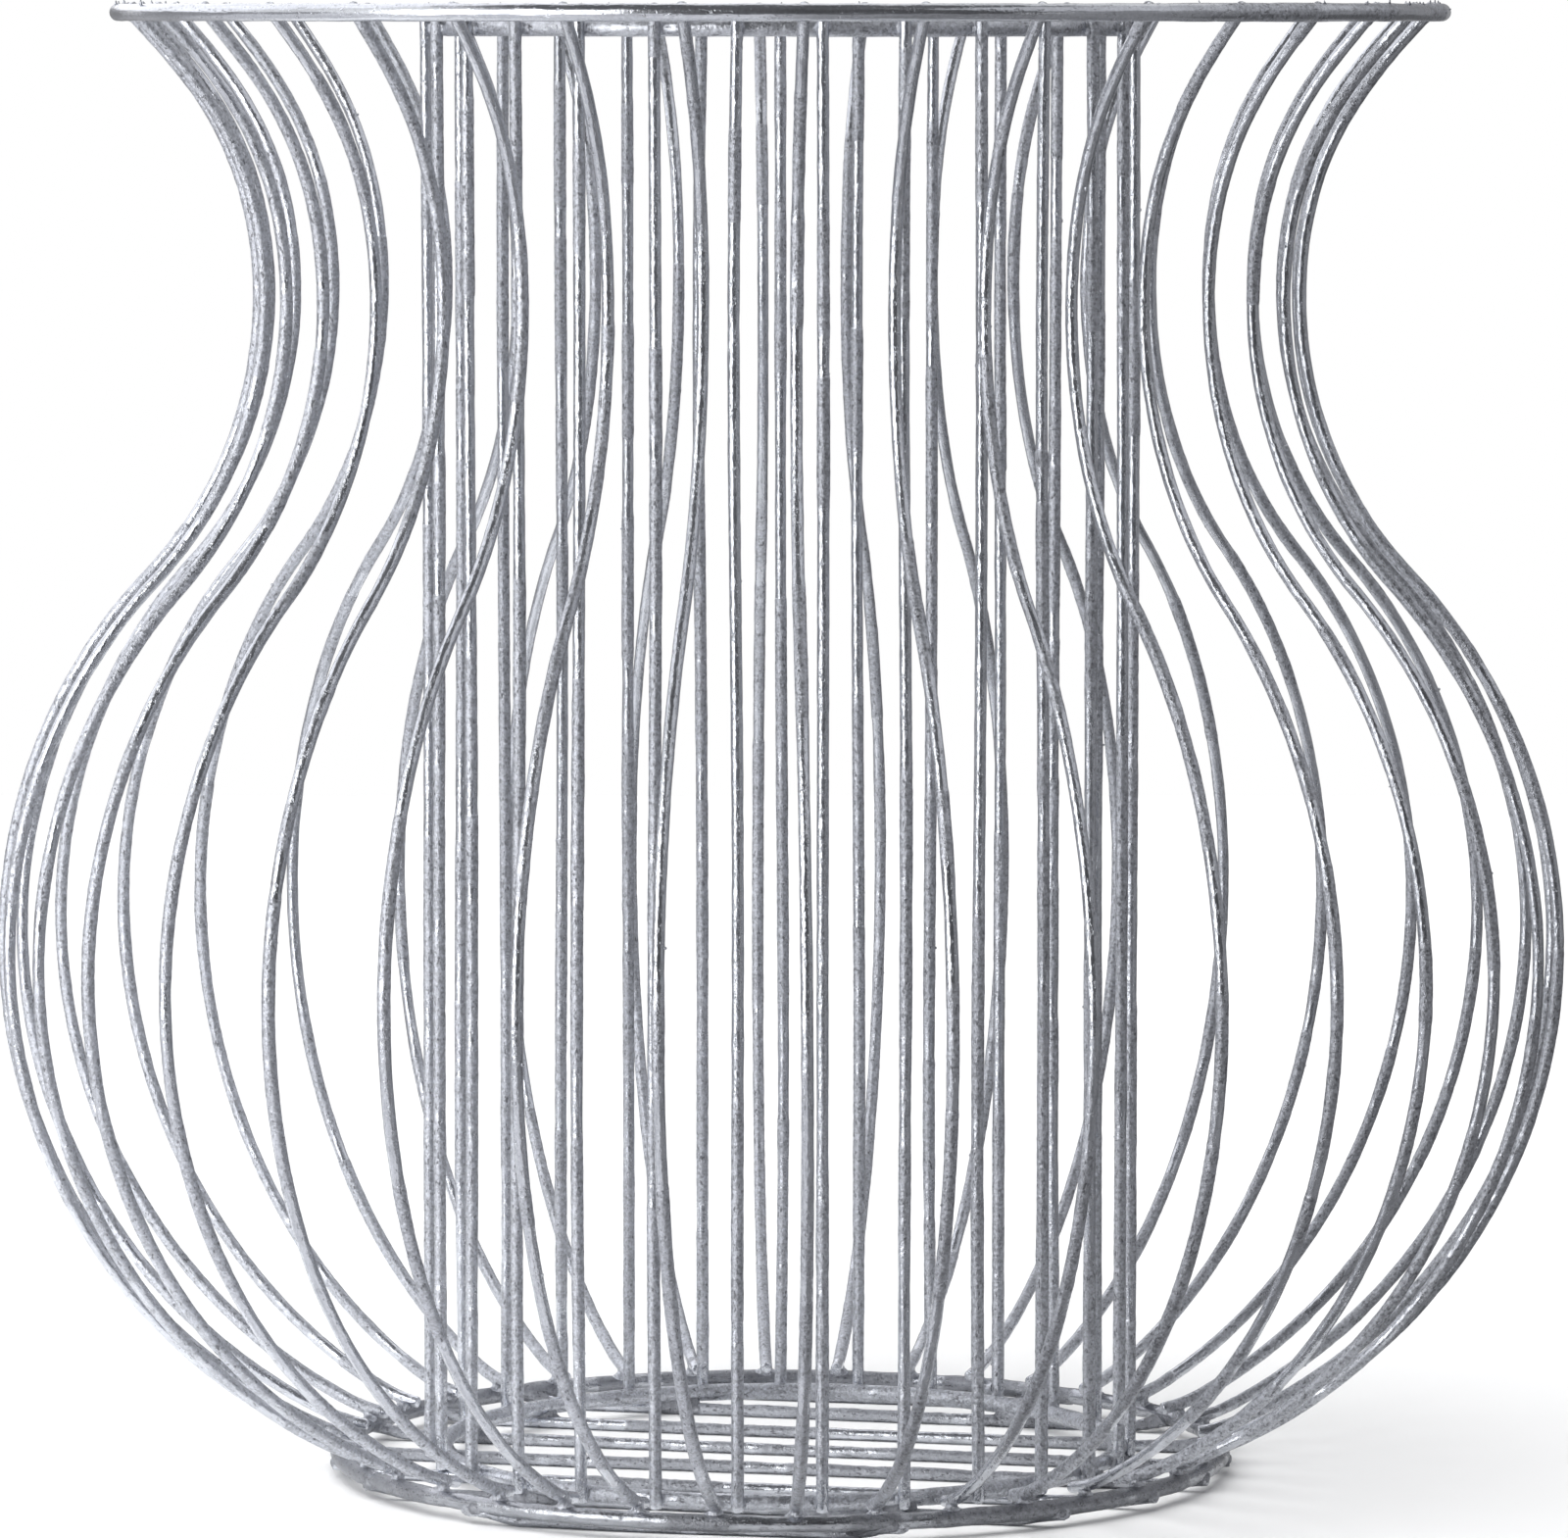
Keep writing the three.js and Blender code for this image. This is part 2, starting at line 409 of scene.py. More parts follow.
class Stretch(Enum):
    """State of the zinc along a stretch of wire."""

    BRIGHT = "bright"
    DULL = "dull"


@dataclass(frozen=True)
class ZincCoat:
    """How the zinc froze on a wire: dull runs, thick places, ripples, nubs and drips."""

    run_length: Span = (0.008, 0.050)
    run_thickness: Span = (0.00004, 0.00017)
    run_dullness: Span = (0.6, 1.0)
    base_dullness: Span = (0.0, 0.35)
    crisp_edge: float = 0.0012
    soft_edge: float = 0.0150
    swell_size: float = 0.0110
    swell: float = 0.00009
    ripple_size: float = 0.0035
    ripple: float = 0.00006
    lump_size: float = 0.0013
    lump: float = 0.00007
    bright_lumps: float = 0.35
    noise_shift: float = 100.0
    grain_shift: float = 4.0
    nub_spacing: float = 0.060
    nub_radius: Span = (0.00018, 0.00042)
    nub_length: float = 2.2
    nub_sink: float = 0.45
    nub_dullness: float = 0.5
    drip_share: float = 0.25
    drip_stretch: float = 1.6

    def runs(
        self, along: np.ndarray, dull_chance: np.ndarray, chance: random.Random
    ) -> tuple[np.ndarray, np.ndarray]:
        """Lay bright and dull stretches along a wire.

        Args:
            along: Distance of each station from the wire's start.
            dull_chance: Chance of dull zinc at each station.
            chance: Source of the wire's own draws.

        Returns:
            Extra thickness and dullness at each station.
        """
        shift = chance.uniform(0.0, self.noise_shift)
        thickness = np.array([self.swell * noise.noise((shift, 0.0, a / self.swell_size)) for a in along])
        dullness = np.full_like(along, chance.uniform(*self.base_dullness))
        run = np.zeros_like(along)
        start = 0.0
        while start < along[-1]:
            end = start + chance.uniform(*self.run_length)
            here = float(np.interp((start + end) / 2, along, dull_chance))
            kind = Stretch.DULL if chance.random() < here else Stretch.BRIGHT
            fade_in = chance.choice((self.crisp_edge, self.soft_edge))
            fade_out = chance.choice((self.crisp_edge, self.soft_edge))
            deep = chance.uniform(*self.run_thickness)
            level = chance.uniform(*self.run_dullness)
            if kind is Stretch.DULL:
                shape = smooth_step((along - start) / fade_in)
                shape = shape * smooth_step((end + fade_out - along) / fade_out)
                run = np.maximum(run, shape * deep)
                dullness = np.maximum(dullness, shape * level)
            start = end
        return thickness + run, dullness


class Wire:
    """A round wire as a bmesh of rings, each ring on a station of its line."""

    def __init__(self, bm: bmesh.types.BMesh, along: np.ndarray) -> None:
        """Wrap a bmesh that has its layers set."""
        self.bm = bm
        self.along = along

    @staticmethod
    def blank() -> bmesh.types.BMesh:
        """Empty bmesh with the layers of a wire.

        Returns:
            The bmesh.
        """
        bm = bmesh.new()
        bm.verts.layers.int.new(STATION)
        bm.verts.layers.float.new(DULL)
        bm.verts.layers.float_vector.new(DRAWN)
        return bm

    @classmethod
    def drawn(cls, line: WireLine, radius: float, sides: int, end_scales: Sequence[float]) -> "Wire":
        """Draw a wire along a line, with rounded ends.

        Args:
            line: The centre line.
            radius: Radius of the wire.
            sides: Sides of its section.
            end_scales: Share of the radius at the stations of each end, from the end inwards.

        Returns:
            The wire.
        """
        bm = cls.blank()
        station = bm.verts.layers.int[STATION]
        straight = bm.verts.layers.float_vector[DRAWN]
        scales = np.ones(len(line.along))
        scales[: len(end_scales)] = end_scales
        scales[-len(end_scales):] = end_scales[::-1]
        frames = [
            stand @ Matrix.Diagonal((scale, scale, 1.0, 1.0)) for stand, scale in zip(line.frames(), scales)
        ]
        bmesh.ops.create_circle(bm, cap_ends=True, radius=radius, segments=sides, matrix=frames[0])
        edges = list(bm.edges)
        for index in range(1, len(frames)):
            grown = bmesh.ops.extrude_edge_only(bm, edges=edges)["geom"]
            verts = [g for g in grown if isinstance(g, bmesh.types.BMVert)]
            fresh = set(verts)
            edges = [g for g in grown if isinstance(g, bmesh.types.BMEdge) and fresh.issuperset(g.verts)]
            bmesh.ops.transform(bm, matrix=frames[index] @ frames[index - 1].inverted(), verts=verts)
            for vert in verts:
                vert[station] = index
        bmesh.ops.edgeloop_fill(bm, edges=edges)
        bmesh.ops.recalc_face_normals(bm, faces=bm.faces)
        back = [stand.inverted() for stand in frames]
        for vert in bm.verts:
            at = vert[station]
            local = back[at] @ vert.co
            vert[straight] = Vector((local.x, local.y, line.along[at]))
        return cls(bm, line.along)

    @classmethod
    def ring(
        cls, radius: float, height: float, wire: float, seam: float, sides: int, step: float
    ) -> "Wire":
        """Bend a wire to a closed ring round the axis.

        Args:
            radius: Radius of the ring's centre line.
            height: Height of the ring.
            wire: Diameter of the wire.
            seam: Angle at which its ends meet.
            sides: Sides of its section.
            step: Distance between stations.

        Returns:
            The ring.
        """
        bm = cls.blank()
        station = bm.verts.layers.int[STATION]
        straight = bm.verts.layers.float_vector[DRAWN]
        steps = round(FULL_TURN * radius / step)
        section = Matrix.Rotation(seam, 4, "Z") @ Matrix.Translation(on_circle(radius, 0.0, height))
        section = section @ Matrix.Rotation(math.pi / 2, 4, "Y")
        bmesh.ops.create_circle(bm, radius=wire / 2, segments=sides, matrix=section)
        geometry = list(bm.verts) + list(bm.edges)
        bmesh.ops.spin(bm, geom=geometry, axis=UP, angle=FULL_TURN, steps=steps, use_merge=True)
        bmesh.ops.remove_doubles(bm, verts=bm.verts, dist=wire * SEAM_MERGE)
        bmesh.ops.recalc_face_normals(bm, faces=bm.faces)
        along = np.arange(steps) * FULL_TURN * radius / steps
        for vert in bm.verts:
            angle = math.atan2(vert.co.x, -vert.co.y) - seam
            vert[station] = round(angle / FULL_TURN * steps) % steps
            out = math.hypot(vert.co.x, vert.co.y) - radius
            vert[straight] = Vector((out, vert.co.z - height, along[vert[station]]))
        return cls(bm, along)

    def copy(self) -> "Wire":
        """Another wire of the same shape."""
        return Wire(self.bm.copy(), self.along)

    def turn(self, angle: float) -> None:
        """Turn the wire round the axis."""
        bmesh.ops.rotate(self.bm, matrix=Matrix.Rotation(angle, 3, "Z"), verts=self.bm.verts)

    def bow(self, direction: Vector, amplitudes: Sequence[float]) -> None:
        """Bend the wire out of true between its ends.

        Args:
            direction: Direction of the bow.
            amplitudes: Size of the bow with one, two and more waves.
        """
        station = self.bm.verts.layers.int[STATION]
        share = self.along / self.along[-1]
        shift = sum(a * np.sin((i + 1) * math.pi * share) for i, a in enumerate(amplitudes))
        for vert in self.bm.verts:
            vert.co += direction * float(shift[vert[station]])

    def cut_flush(self, radius: float) -> None:
        """Cut the ends of a wire that lies along X to a circle round the axis.

        Args:
            radius: Radius of the circle.
        """
        for vert in self.bm.verts:
            reach = math.sqrt(radius**2 - vert.co.y**2)
            vert.co.x = min(max(vert.co.x, -reach), reach)

    def dip(self, coat: ZincCoat, dull_chance: np.ndarray, chance: random.Random) -> None:
        """Cover the wire with zinc.

        Args:
            coat: How the zinc lies.
            dull_chance: Chance of dull zinc at each station.
            chance: Source of the wire's own draws.
        """
        layers = self.bm.verts.layers
        station, dull, straight = layers.int[STATION], layers.float[DULL], layers.float_vector[DRAWN]
        thickness, dullness = coat.runs(self.along, dull_chance, chance)
        own = Vector((0.0, 0.0, chance.uniform(0.0, coat.grain_shift)))
        self.bm.normal_update()
        moves = []
        for vert in self.bm.verts:
            at = vert[station]
            level = float(dullness[at])
            vert[dull] = level
            vert[straight] += own
            rise = float(thickness[at]) + coat.ripple * noise.noise(vert.co / coat.ripple_size)
            rise += coat.lump * (coat.bright_lumps + level) * noise.noise(vert.co / coat.lump_size)
            moves.append(vert.normal * rise)
        for vert, move in zip(self.bm.verts, moves):
            vert.co += move
        self.add_nubs(coat, chance)

    def add_nubs(self, coat: ZincCoat, chance: random.Random) -> None:
        """Leave small nubs and drips of zinc on the wire.

        Args:
            coat: Their spacing and size.
            chance: Source of the wire's own draws.
        """
        dull = self.bm.verts.layers.float[DULL]
        straight = self.bm.verts.layers.float_vector[DRAWN]
        self.bm.verts.ensure_lookup_table()
        count = max(1, round(self.along[-1] / coat.nub_spacing))
        seats = [self.bm.verts[chance.randrange(len(self.bm.verts))] for _ in range(count)]
        places = [(seat.co.copy(), seat.normal.copy(), seat[dull]) for seat in seats]
        for place, out, level in places:
            radius = chance.uniform(*coat.nub_radius)
            drip = coat.drip_stretch if chance.random() < coat.drip_share else 1.0
            centre = place + out * radius * (drip - 1.0 - coat.nub_sink)
            shape = Matrix.Translation(centre) @ out.to_track_quat("Z", "Y").to_matrix().to_4x4()
            shape = shape @ Matrix.Diagonal((1.0, chance.uniform(1.0, coat.nub_length), drip, 1.0))
            made = bmesh.ops.create_icosphere(self.bm, subdivisions=1, radius=radius, matrix=shape)
            for vert in made["verts"]:
                vert[dull] = max(level, coat.nub_dullness)
                vert[straight] = vert.co

    def finished(self, name: str, material: bpy.types.Material, *nodes: str) -> bpy.types.Object:
        """Make the wire a piece of the basket.

        Args:
            name: Name of the piece.
            material: Its zinc.
            nodes: The solids that it stands for.

        Returns:
            The piece.
        """
        mesh = bpy.data.meshes.new(name)
        for vert in self.bm.verts:
            vert.co.z = max(vert.co.z, 0.0)
        for face in self.bm.faces:
            face.smooth = True
        self.bm.to_mesh(mesh)
        self.bm.free()
        return seat_piece(mesh, name, material, *nodes)


def seat_piece(
    mesh: bpy.types.Mesh, name: str, material: bpy.types.Material, *nodes: str
) -> bpy.types.Object:
    """Put a finished mesh on the basket.

    Args:
        mesh: The mesh, in place.
        name: Name of the piece.
        material: Its zinc.
        nodes: The solids that it stands for.

    Returns:
        The piece.
    """
    piece = bpy.data.objects.new(name, mesh)
    bpy.context.scene.collection.objects.link(piece)
    mesh.materials.append(material)
    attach(piece, BODY)
    if nodes:
        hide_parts(*nodes)
    LOG.info("%s: %d faces", name, len(mesh.polygons))
    return piece


# Shader maths and finishes


class Value:
    """A number socket that Python's operators add Math nodes to."""

    def __init__(self, graph: "Graph", socket: bpy.types.NodeSocket) -> None:
        """Wrap a socket of a graph."""
        self.graph = graph
        self.socket = socket

    def __add__(self, other: "Value | float") -> "Value":
        """Sum."""
        return self.graph.math("ADD", self, other)

    def __radd__(self, other: float) -> "Value":
        """Sum with a number on the left."""
        return self.graph.math("ADD", other, self)

    def __sub__(self, other: "Value | float") -> "Value":
        """Difference."""
        return self.graph.math("SUBTRACT", self, other)

    def __rsub__(self, other: float) -> "Value":
        """Difference from a number."""
        return self.graph.math("SUBTRACT", other, self)

    def __mul__(self, other: "Value | float") -> "Value":
        """Product."""
        return self.graph.math("MULTIPLY", self, other)

    def __rmul__(self, other: float) -> "Value":
        """Product with a number on the left."""
        return self.graph.math("MULTIPLY", other, self)

    def within(self, low: float, high: float) -> "Value":
        """Smooth ramp from 0 to 1.

        Args:
            low: Value up to which the ramp is 0.
            high: Value from which it is 1.

        Returns:
            The ramp.
        """
        made = self.graph.node(
            "ShaderNodeMapRange",
            {"interpolation_type": "SMOOTHSTEP", "clamp": True},
            {"Value": self, "From Min": low, "From Max": high},
        )
        return Value(self.graph, made.outputs[0])


class Graph:
    """The node tree of one material or world."""

    def __init__(self, tree: bpy.types.NodeTree) -> None:
        """Empty a tree to build in."""
        self.tree = tree
        tree.nodes.clear()

    def node(self, kind: str, settings: dict | None = None, inputs: dict | None = None) -> bpy.types.Node:
        """Add a node.

        Args:
            kind: Type of the node.
            settings: Its properties, set before its sockets.
            inputs: Values or links of its sockets, by name or number.

        Returns:
            The node.
        """
        made = self.tree.nodes.new(kind)
        for name, setting in (settings or {}).items():
            setattr(made, name, setting)
        for key, given in (inputs or {}).items():
            source = given.socket if isinstance(given, Value) else given
            if isinstance(source, bpy.types.NodeSocket):
                self.tree.links.new(source, made.inputs[key])
            else:
                made.inputs[key].default_value = source
        return made

    def math(self, operation: str, first: Value | float, second: Value | float) -> Value:
        """Add a Math node and wrap its result."""
        made = self.node("ShaderNodeMath", {"operation": operation}, {0: first, 1: second})
        return Value(self, made.outputs[0])

    def noise(
        self, place: bpy.types.NodeSocket, size: float, detail: float, roughness: float = 0.5
    ) -> Value:
        """Soft noise from 0 to 1.

        Args:
            place: Coordinates.
            size: Size of its largest spots.
            detail: Octaves of finer spots.
            roughness: Weight of the finer spots.

        Returns:
            The noise.
        """
        made = self.node(
            "ShaderNodeTexNoise",
            None,
            {"Vector": place, "Scale": 1.0 / size, "Detail": detail, "Roughness": roughness},
        )
        return Value(self, made.outputs[0])

    def scaled(self, vector: bpy.types.NodeSocket, factors: Place) -> bpy.types.NodeSocket:
        """Multiply each axis of a vector."""
        made = self.node("ShaderNodeVectorMath", {"operation": "MULTIPLY"}, {0: vector, 1: factors})
        return made.outputs[0]

    def blend(
        self,
        factor: Value | float,
        first: bpy.types.NodeSocket | Colour,
        second: bpy.types.NodeSocket | Colour,
        kind: str = "MIX",
    ) -> bpy.types.NodeSocket:
        """Blend two colours.

        Args:
            factor: Share of the second.
            first: First colour or its socket.
            second: Second colour or its socket.
            kind: How they blend.

        Returns:
            The colour's socket.
        """
        made = self.node(
            "ShaderNodeMix", {"data_type": "RGBA", "blend_type": kind}, {0: factor, 6: first, 7: second}
        )
        return made.outputs[2]


@dataclass(frozen=True)
class ZincFinish:
    """Hot-dip zinc: gleaming and streaked on bright stretches, sandy on dull ones, with dark flecks, and
    painted light and shade by place: darker to the right, lighter to the back.
    """

    name: str
    bright_tone: Colour = (0.585, 0.604, 0.648, 1.0)
    dull_tone: Colour = (0.49, 0.505, 0.545, 1.0)
    fleck_tone: Colour = (0.12, 0.12, 0.13, 1.0)
    bright_roughness: float = 0.22
    dull_roughness: float = 0.46
    edge_size: float = 0.0040
    edge_reach: float = 0.90
    dull_span: Span = (0.38, 0.74)
    cloud_size: float = 0.0220
    cloud_strength: float = 0.30
    # Painted light and shade by place: the tone gets darker to the right and lighter to the back, and near
    # the ground lighter and darker still to the right.
    painted_shade_rightward: float = 0.75
    painted_light_backward: float = 0.35
    painted_light_low: float = 0.03
    painted_shade_rightward_low: float = 0.6
    low_span: Span = (0.03, 0.17)
    streak_size: float = 0.0011
    streak_stretch: Place = (1.0, 1.0, 0.16)
    streak_strength: float = 0.80
    streak_loss: float = 0.5
    streak_roughness: float = 0.2
    streak_rise: float = 0.2
    grain_size: float = 0.00058
    grain_strength: float = 1.15
    grain_cover: Span = (0.3, 0.7)
    grain_rise: Span = (0.15, 0.65)
    crystal_size: float = 0.00065
    crystal_strength: float = 0.50
    crystal_roughness: float = 0.25
    fleck_size: float = 0.0008
    fleck_stretch: Place = (1.0, 1.0, 0.45)
    fleck_span: Span = (0.60, 0.70)
    fleck_cover: Span = (0.25, 0.45)
    fleck_pit: float = 0.3
    ripple_size: float = 0.0013
    ripple_stretch: Place = (1.0, 1.0, 0.5)
    ripple_rise: float = 0.72
    relief: float = 0.00032

    def share(self, dull: Value, cover: Span) -> Value:
        """Share on bright zinc, with what dull zinc adds to it."""
        return dull * cover[1] + cover[0]

    def material(self) -> bpy.types.Material:
        """Make the zinc.

        Returns:
            The material.
        """
        made = bpy.data.materials.new(self.name)
        made.use_nodes = True
        graph = Graph(made.node_tree)
        place = graph.node("ShaderNodeTexCoord").outputs["Object"]
        drawn = graph.node("ShaderNodeAttribute", {"attribute_name": DRAWN}).outputs["Vector"]
        run = Value(graph, graph.node("ShaderNodeAttribute", {"attribute_name": DULL}).outputs["Fac"])
        edge = graph.noise(drawn, self.edge_size, 3.0)
        cloud = graph.noise(place, self.cloud_size, 2.0)
        streak = graph.noise(graph.scaled(drawn, self.streak_stretch), self.streak_size, 2.0, 0.6)
        grain = graph.noise(drawn, self.grain_size, 2.0, 0.7)
        ripple = graph.noise(graph.scaled(drawn, self.ripple_stretch), self.ripple_size, 2.0)
        spots = graph.noise(graph.scaled(drawn, self.fleck_stretch), self.fleck_size, 2.0, 0.6)
        fleck = spots.within(*self.fleck_span)
        scale = 1.0 / self.crystal_size
        cells = graph.node("ShaderNodeTexVoronoi", None, {"Vector": place, "Scale": scale})
        shade = graph.node("ShaderNodeSeparateColor", None, {0: cells.outputs["Color"]})
        crystal = Value(graph, shade.outputs[0]) - 0.5

        dull = (run + (edge - 0.5) * self.edge_reach).within(*self.dull_span)
        axes = graph.node("ShaderNodeSeparateXYZ", None, {0: place})
        side, depth, height = (Value(graph, axis) for axis in axes.outputs)
        low = 1.0 - height.within(*self.low_span)
        tone = (cloud - 0.5) * self.cloud_strength + 1.0
        # Painted light and shade: the tone rises to the back and low down, and falls to the right, more so
        # low down.
        tone = tone + depth * self.painted_light_backward + low * self.painted_light_low
        tone = tone - side * (low * self.painted_shade_rightward_low + self.painted_shade_rightward)
        tone = tone + (streak - 0.5) * (1.0 - dull * self.streak_loss) * self.streak_strength
        tone = tone + (grain - 0.5) * self.share(dull, self.grain_cover) * self.grain_strength
        tone = tone + crystal * dull * self.crystal_strength
        zinc = graph.blend(dull, self.bright_tone, self.dull_tone)
        zinc = graph.blend(1.0, zinc, tone.socket, "MULTIPLY")
        zinc = graph.blend(fleck * self.share(dull, self.fleck_cover), zinc, self.fleck_tone)
        rough = dull * (self.dull_roughness - self.bright_roughness) + self.bright_roughness
        rough = rough + (streak - 0.5) * self.streak_roughness + crystal * dull * self.crystal_roughness
        rise = streak * self.streak_rise + ripple * self.ripple_rise
        rise = rise + grain * self.share(dull, self.grain_rise) - fleck * self.fleck_pit
        bump = graph.node("ShaderNodeBump", None, {"Distance": self.relief, "Height": rise})
        shader = graph.node(
            "ShaderNodeBsdfPrincipled",
            None,
            {"Base Color": zinc, "Roughness": rough, "Metallic": 1.0, "Normal": bump.outputs[0]},
        )
        graph.node("ShaderNodeOutputMaterial", None, {"Surface": shader.outputs[0]})
        return made


# Sub-assemblies


@dataclass
class WireStock:
    """How finely wires are drawn and how their ends are cut."""

    step: float = 0.0014
    sides: int = 14
    ring_step: float = 0.0021
    ring_sides: int = 18
    ends: tuple[float, ...] = (0.0, 0.00008, 0.00028, 0.00070)
    end_scales: tuple[float, ...] = (0.74, 0.88, 0.97, 1.0)

    def ring(self, radius: float, height: float, wire: float, seam: float) -> Wire:
        """Bend a ring of this stock."""
        return Wire.ring(radius, height, wire, seam, self.ring_sides, self.ring_step)

    def rod(self, path: np.ndarray, across: Vector, wire: float) -> tuple[WireLine, Wire]:
        """Draw a wire of this stock along a path.

        Args:
            path: Points on its centre line.
            across: A direction square to the whole line.
            wire: Its diameter.

        Returns:
            Its line and the wire.
        """
        line = WireLine.through(path, across, self.step, self.ends)
        return line, Wire.drawn(line, wire / 2, self.sides, self.end_scales)


@dataclass(frozen=True)
class Dullness:
    """Where the zinc is dull: low down, at the sides and at the back."""

    front: float = 0.22
    back: float = 0.55
    left: float = 0.30
    right: float = 0.20
    low: float = 0.85
    below: float = 0.075
    fade: float = 0.070

    def chance(self, heights: np.ndarray, angle: float) -> np.ndarray:
        """Chance of dull zinc along a wire.

        Args:
            heights: Heights of its stations.
            angle: Its angle from the front.

        Returns:
            The chance at each station.
        """
        behind = (1.0 - math.cos(angle)) / 2
        sideways = max(math.sin(angle) * self.right, -math.sin(angle) * self.left)
        level = self.front + (self.back - self.front) * behind + sideways
        share = smooth_step((self.below + self.fade - heights) / self.fade)
        return level + (self.low - level) * share


@dataclass
class WireWall:
    """A wall of like wires round the axis."""

    sizes: BasketSizes
    finish: bpy.types.Material
    stock: WireStock = field(default_factory=WireStock)
    coat: ZincCoat = field(default_factory=ZincCoat)
    dullness: Dullness = field(default_factory=Dullness)
    side_bow: tuple[float, ...] = (0.0009, 0.0006, 0.0003)
    out_bow: tuple[float, ...] = (0.0005, 0.0004)

    def set_round(
        self, kind: str, path: np.ndarray, wire: float, angles: Sequence[float], nodes: Sequence[str]
    ) -> None:
        """Draw a wire at the front, and set dipped and slightly bowed copies round the axis.

        Args:
            kind: What such a wire is called.
            path: Points on its centre line, at the front.
            wire: Its diameter.
            angles: Angle of each copy from the front.
            nodes: The solid that each copy stands for.
        """
        line, model = self.stock.rod(path, RIGHT, wire)
        for index, (angle, node) in enumerate(zip(angles, nodes)):
            number = f"{index + 1:02d}"
            chance = random.Random(f"{kind} {number}")
            made = model.copy()
            made.bow(RIGHT, [chance.uniform(-a, a) for a in self.side_bow])
            made.bow(FRONT, [chance.uniform(-a, a) for a in self.out_bow])
            made.turn(angle)
            made.dip(self.coat, self.dullness.chance(line.points[:, 2], angle), chance)
            made.finished(f"{kind}_wire_{number}", self.finish, node)
        model.bm.free()


@dataclass
class OuterWall(WireWall):
    """The bulged wall: ribs bent to an S under the rim ring."""

    def build(self) -> None:
        """Make the ribs."""
        size = self.sizes
        ribs = range(size.rib_count)
        angles = [size.rib_angle(index) for index in ribs]
        nodes = [f"outer_rib_{index + 1:02d}" for index in ribs]
        self.set_round("rib", RibLine(size).path(), size.rib_wire, angles, nodes)


@dataclass
class RimRing:
    """The thick ring round the mouth, rough and thorny with zinc at its right end."""

    sizes: BasketSizes
    finish: bpy.types.Material
    stock: WireStock = field(default_factory=WireStock)
    coat: ZincCoat = field(
        default_factory=lambda: ZincCoat(
            run_length=(0.02, 0.09), base_dullness=(0.26, 0.30), crisp_edge=0.02, soft_edge=0.05,
            nub_spacing=0.04,
        )
    )
    bright: float = 0.0
    rough: float = 1.0
    rough_from: float = 0.3
    rough_fade: float = 0.5
    seam: float = math.radians(171.0)
    thorn_sectors: tuple[tuple[float, float, int], ...] = (
        (45.0, 120.0, 15), (-120.0, -55.0, 11), (130.0, 230.0, 8),
    )
    thorn_length: Span = (0.0006, 0.0016)
    thorn_spread: float = 0.3
    thorn_level: float = 0.46
    thorn_sink: float = 0.35
    thorn_lean: float = 40.0
    thorn_sides: int = 7
    thorn_dullness: float = 0.8
    thorn_base: float = 0.00045
    thorn_tip: float = 0.00012

    def build(self) -> None:
        """Bend the ring, dip it and leave thorns of zinc on it."""
        size = self.sizes
        ring = self.stock.ring(size.rim_radius, size.rim_height, size.rim_wire, self.seam)
        to_right = np.sin(ring.along / size.rim_radius + self.seam)
        rough_share = smooth_step((to_right - self.rough_from) / self.rough_fade)
        dull_chance = self.bright + (self.rough - self.bright) * rough_share
        ring.dip(self.coat, dull_chance, random.Random("rim"))
        self.add_thorns(ring.bm)
        ring.finished("rim_wire", self.finish, "rim_ring")

    def add_thorns(self, bm: bmesh.types.BMesh) -> None:
        """Leave thorns where the zinc ran off the ring's top as it hung upside down.

        Args:
            bm: The ring.
        """
        size = self.sizes
        dull = bm.verts.layers.float[DULL]
        straight = bm.verts.layers.float_vector[DRAWN]
        chance = random.Random("thorns")
        for first, last, count in self.thorn_sectors:
            for _ in range(count):
                angle = math.radians(chance.uniform(first, last))
                length = chance.uniform(*self.thorn_length)
                aside = chance.uniform(-self.thorn_spread, self.thorn_spread)
                radius = size.rim_radius + aside * size.rim_wire
                foot = on_circle(radius, angle, size.rim_height + self.thorn_level * size.rim_wire)
                tilt = math.radians(chance.uniform(-self.thorn_lean, self.thorn_lean))
                lean = Matrix.Rotation(tilt, 4, "Y")
                shape = Matrix.Translation(foot) @ Matrix.Rotation(angle, 4, "Z") @ lean
                shape = shape @ Matrix.Translation(UP * length * self.thorn_sink)
                made = bmesh.ops.create_cone(
                    bm, cap_ends=True, segments=self.thorn_sides, radius1=self.thorn_base,
                    radius2=self.thorn_tip, depth=length, matrix=shape,
                )
                for vert in made["verts"]:
                    vert[dull] = self.thorn_dullness
                    vert[straight] = vert.co


@dataclass
class InnerCage(WireWall):
    """The straight cage for the pot: uprights outside two rings."""

    side_bow: tuple[float, ...] = (0.0008, 0.0005, 0.0003)
    ring_coat: ZincCoat = field(default_factory=lambda: ZincCoat(base_dullness=(0.5, 0.65)))
    ring_dull: float = 0.6
    seam: float = math.radians(62.0)

    def build(self) -> None:
        """Make both rings and the uprights."""
        size = self.sizes
        frame_node = "inner_cage_frame"
        for name, node, height in (
            ("cage_base_ring", frame_node, size.inner_base_height),
            ("cage_top_ring", "inner_top_ring", size.inner_top_height),
        ):
            ring = self.stock.ring(size.inner_ring_radius, height, size.inner_ring_wire, self.seam)
            ring.dip(self.ring_coat, np.full_like(ring.along, self.ring_dull), random.Random(name))
            ring.finished(name, self.finish, node)
        foot = on_circle(size.upright_radius, 0.0, size.upright_foot)
        top = on_circle(size.upright_radius, 0.0, size.upright_top)
        uprights = range(size.upright_count)
        angles = [size.upright_angle(index) for index in uprights]
        nodes = [
            f"inner_upright_{index + 1:02d}" if index % size.frame_every else frame_node
            for index in uprights
        ]
        self.set_round("upright", np.array([foot, top]), size.upright_wire, angles, nodes)


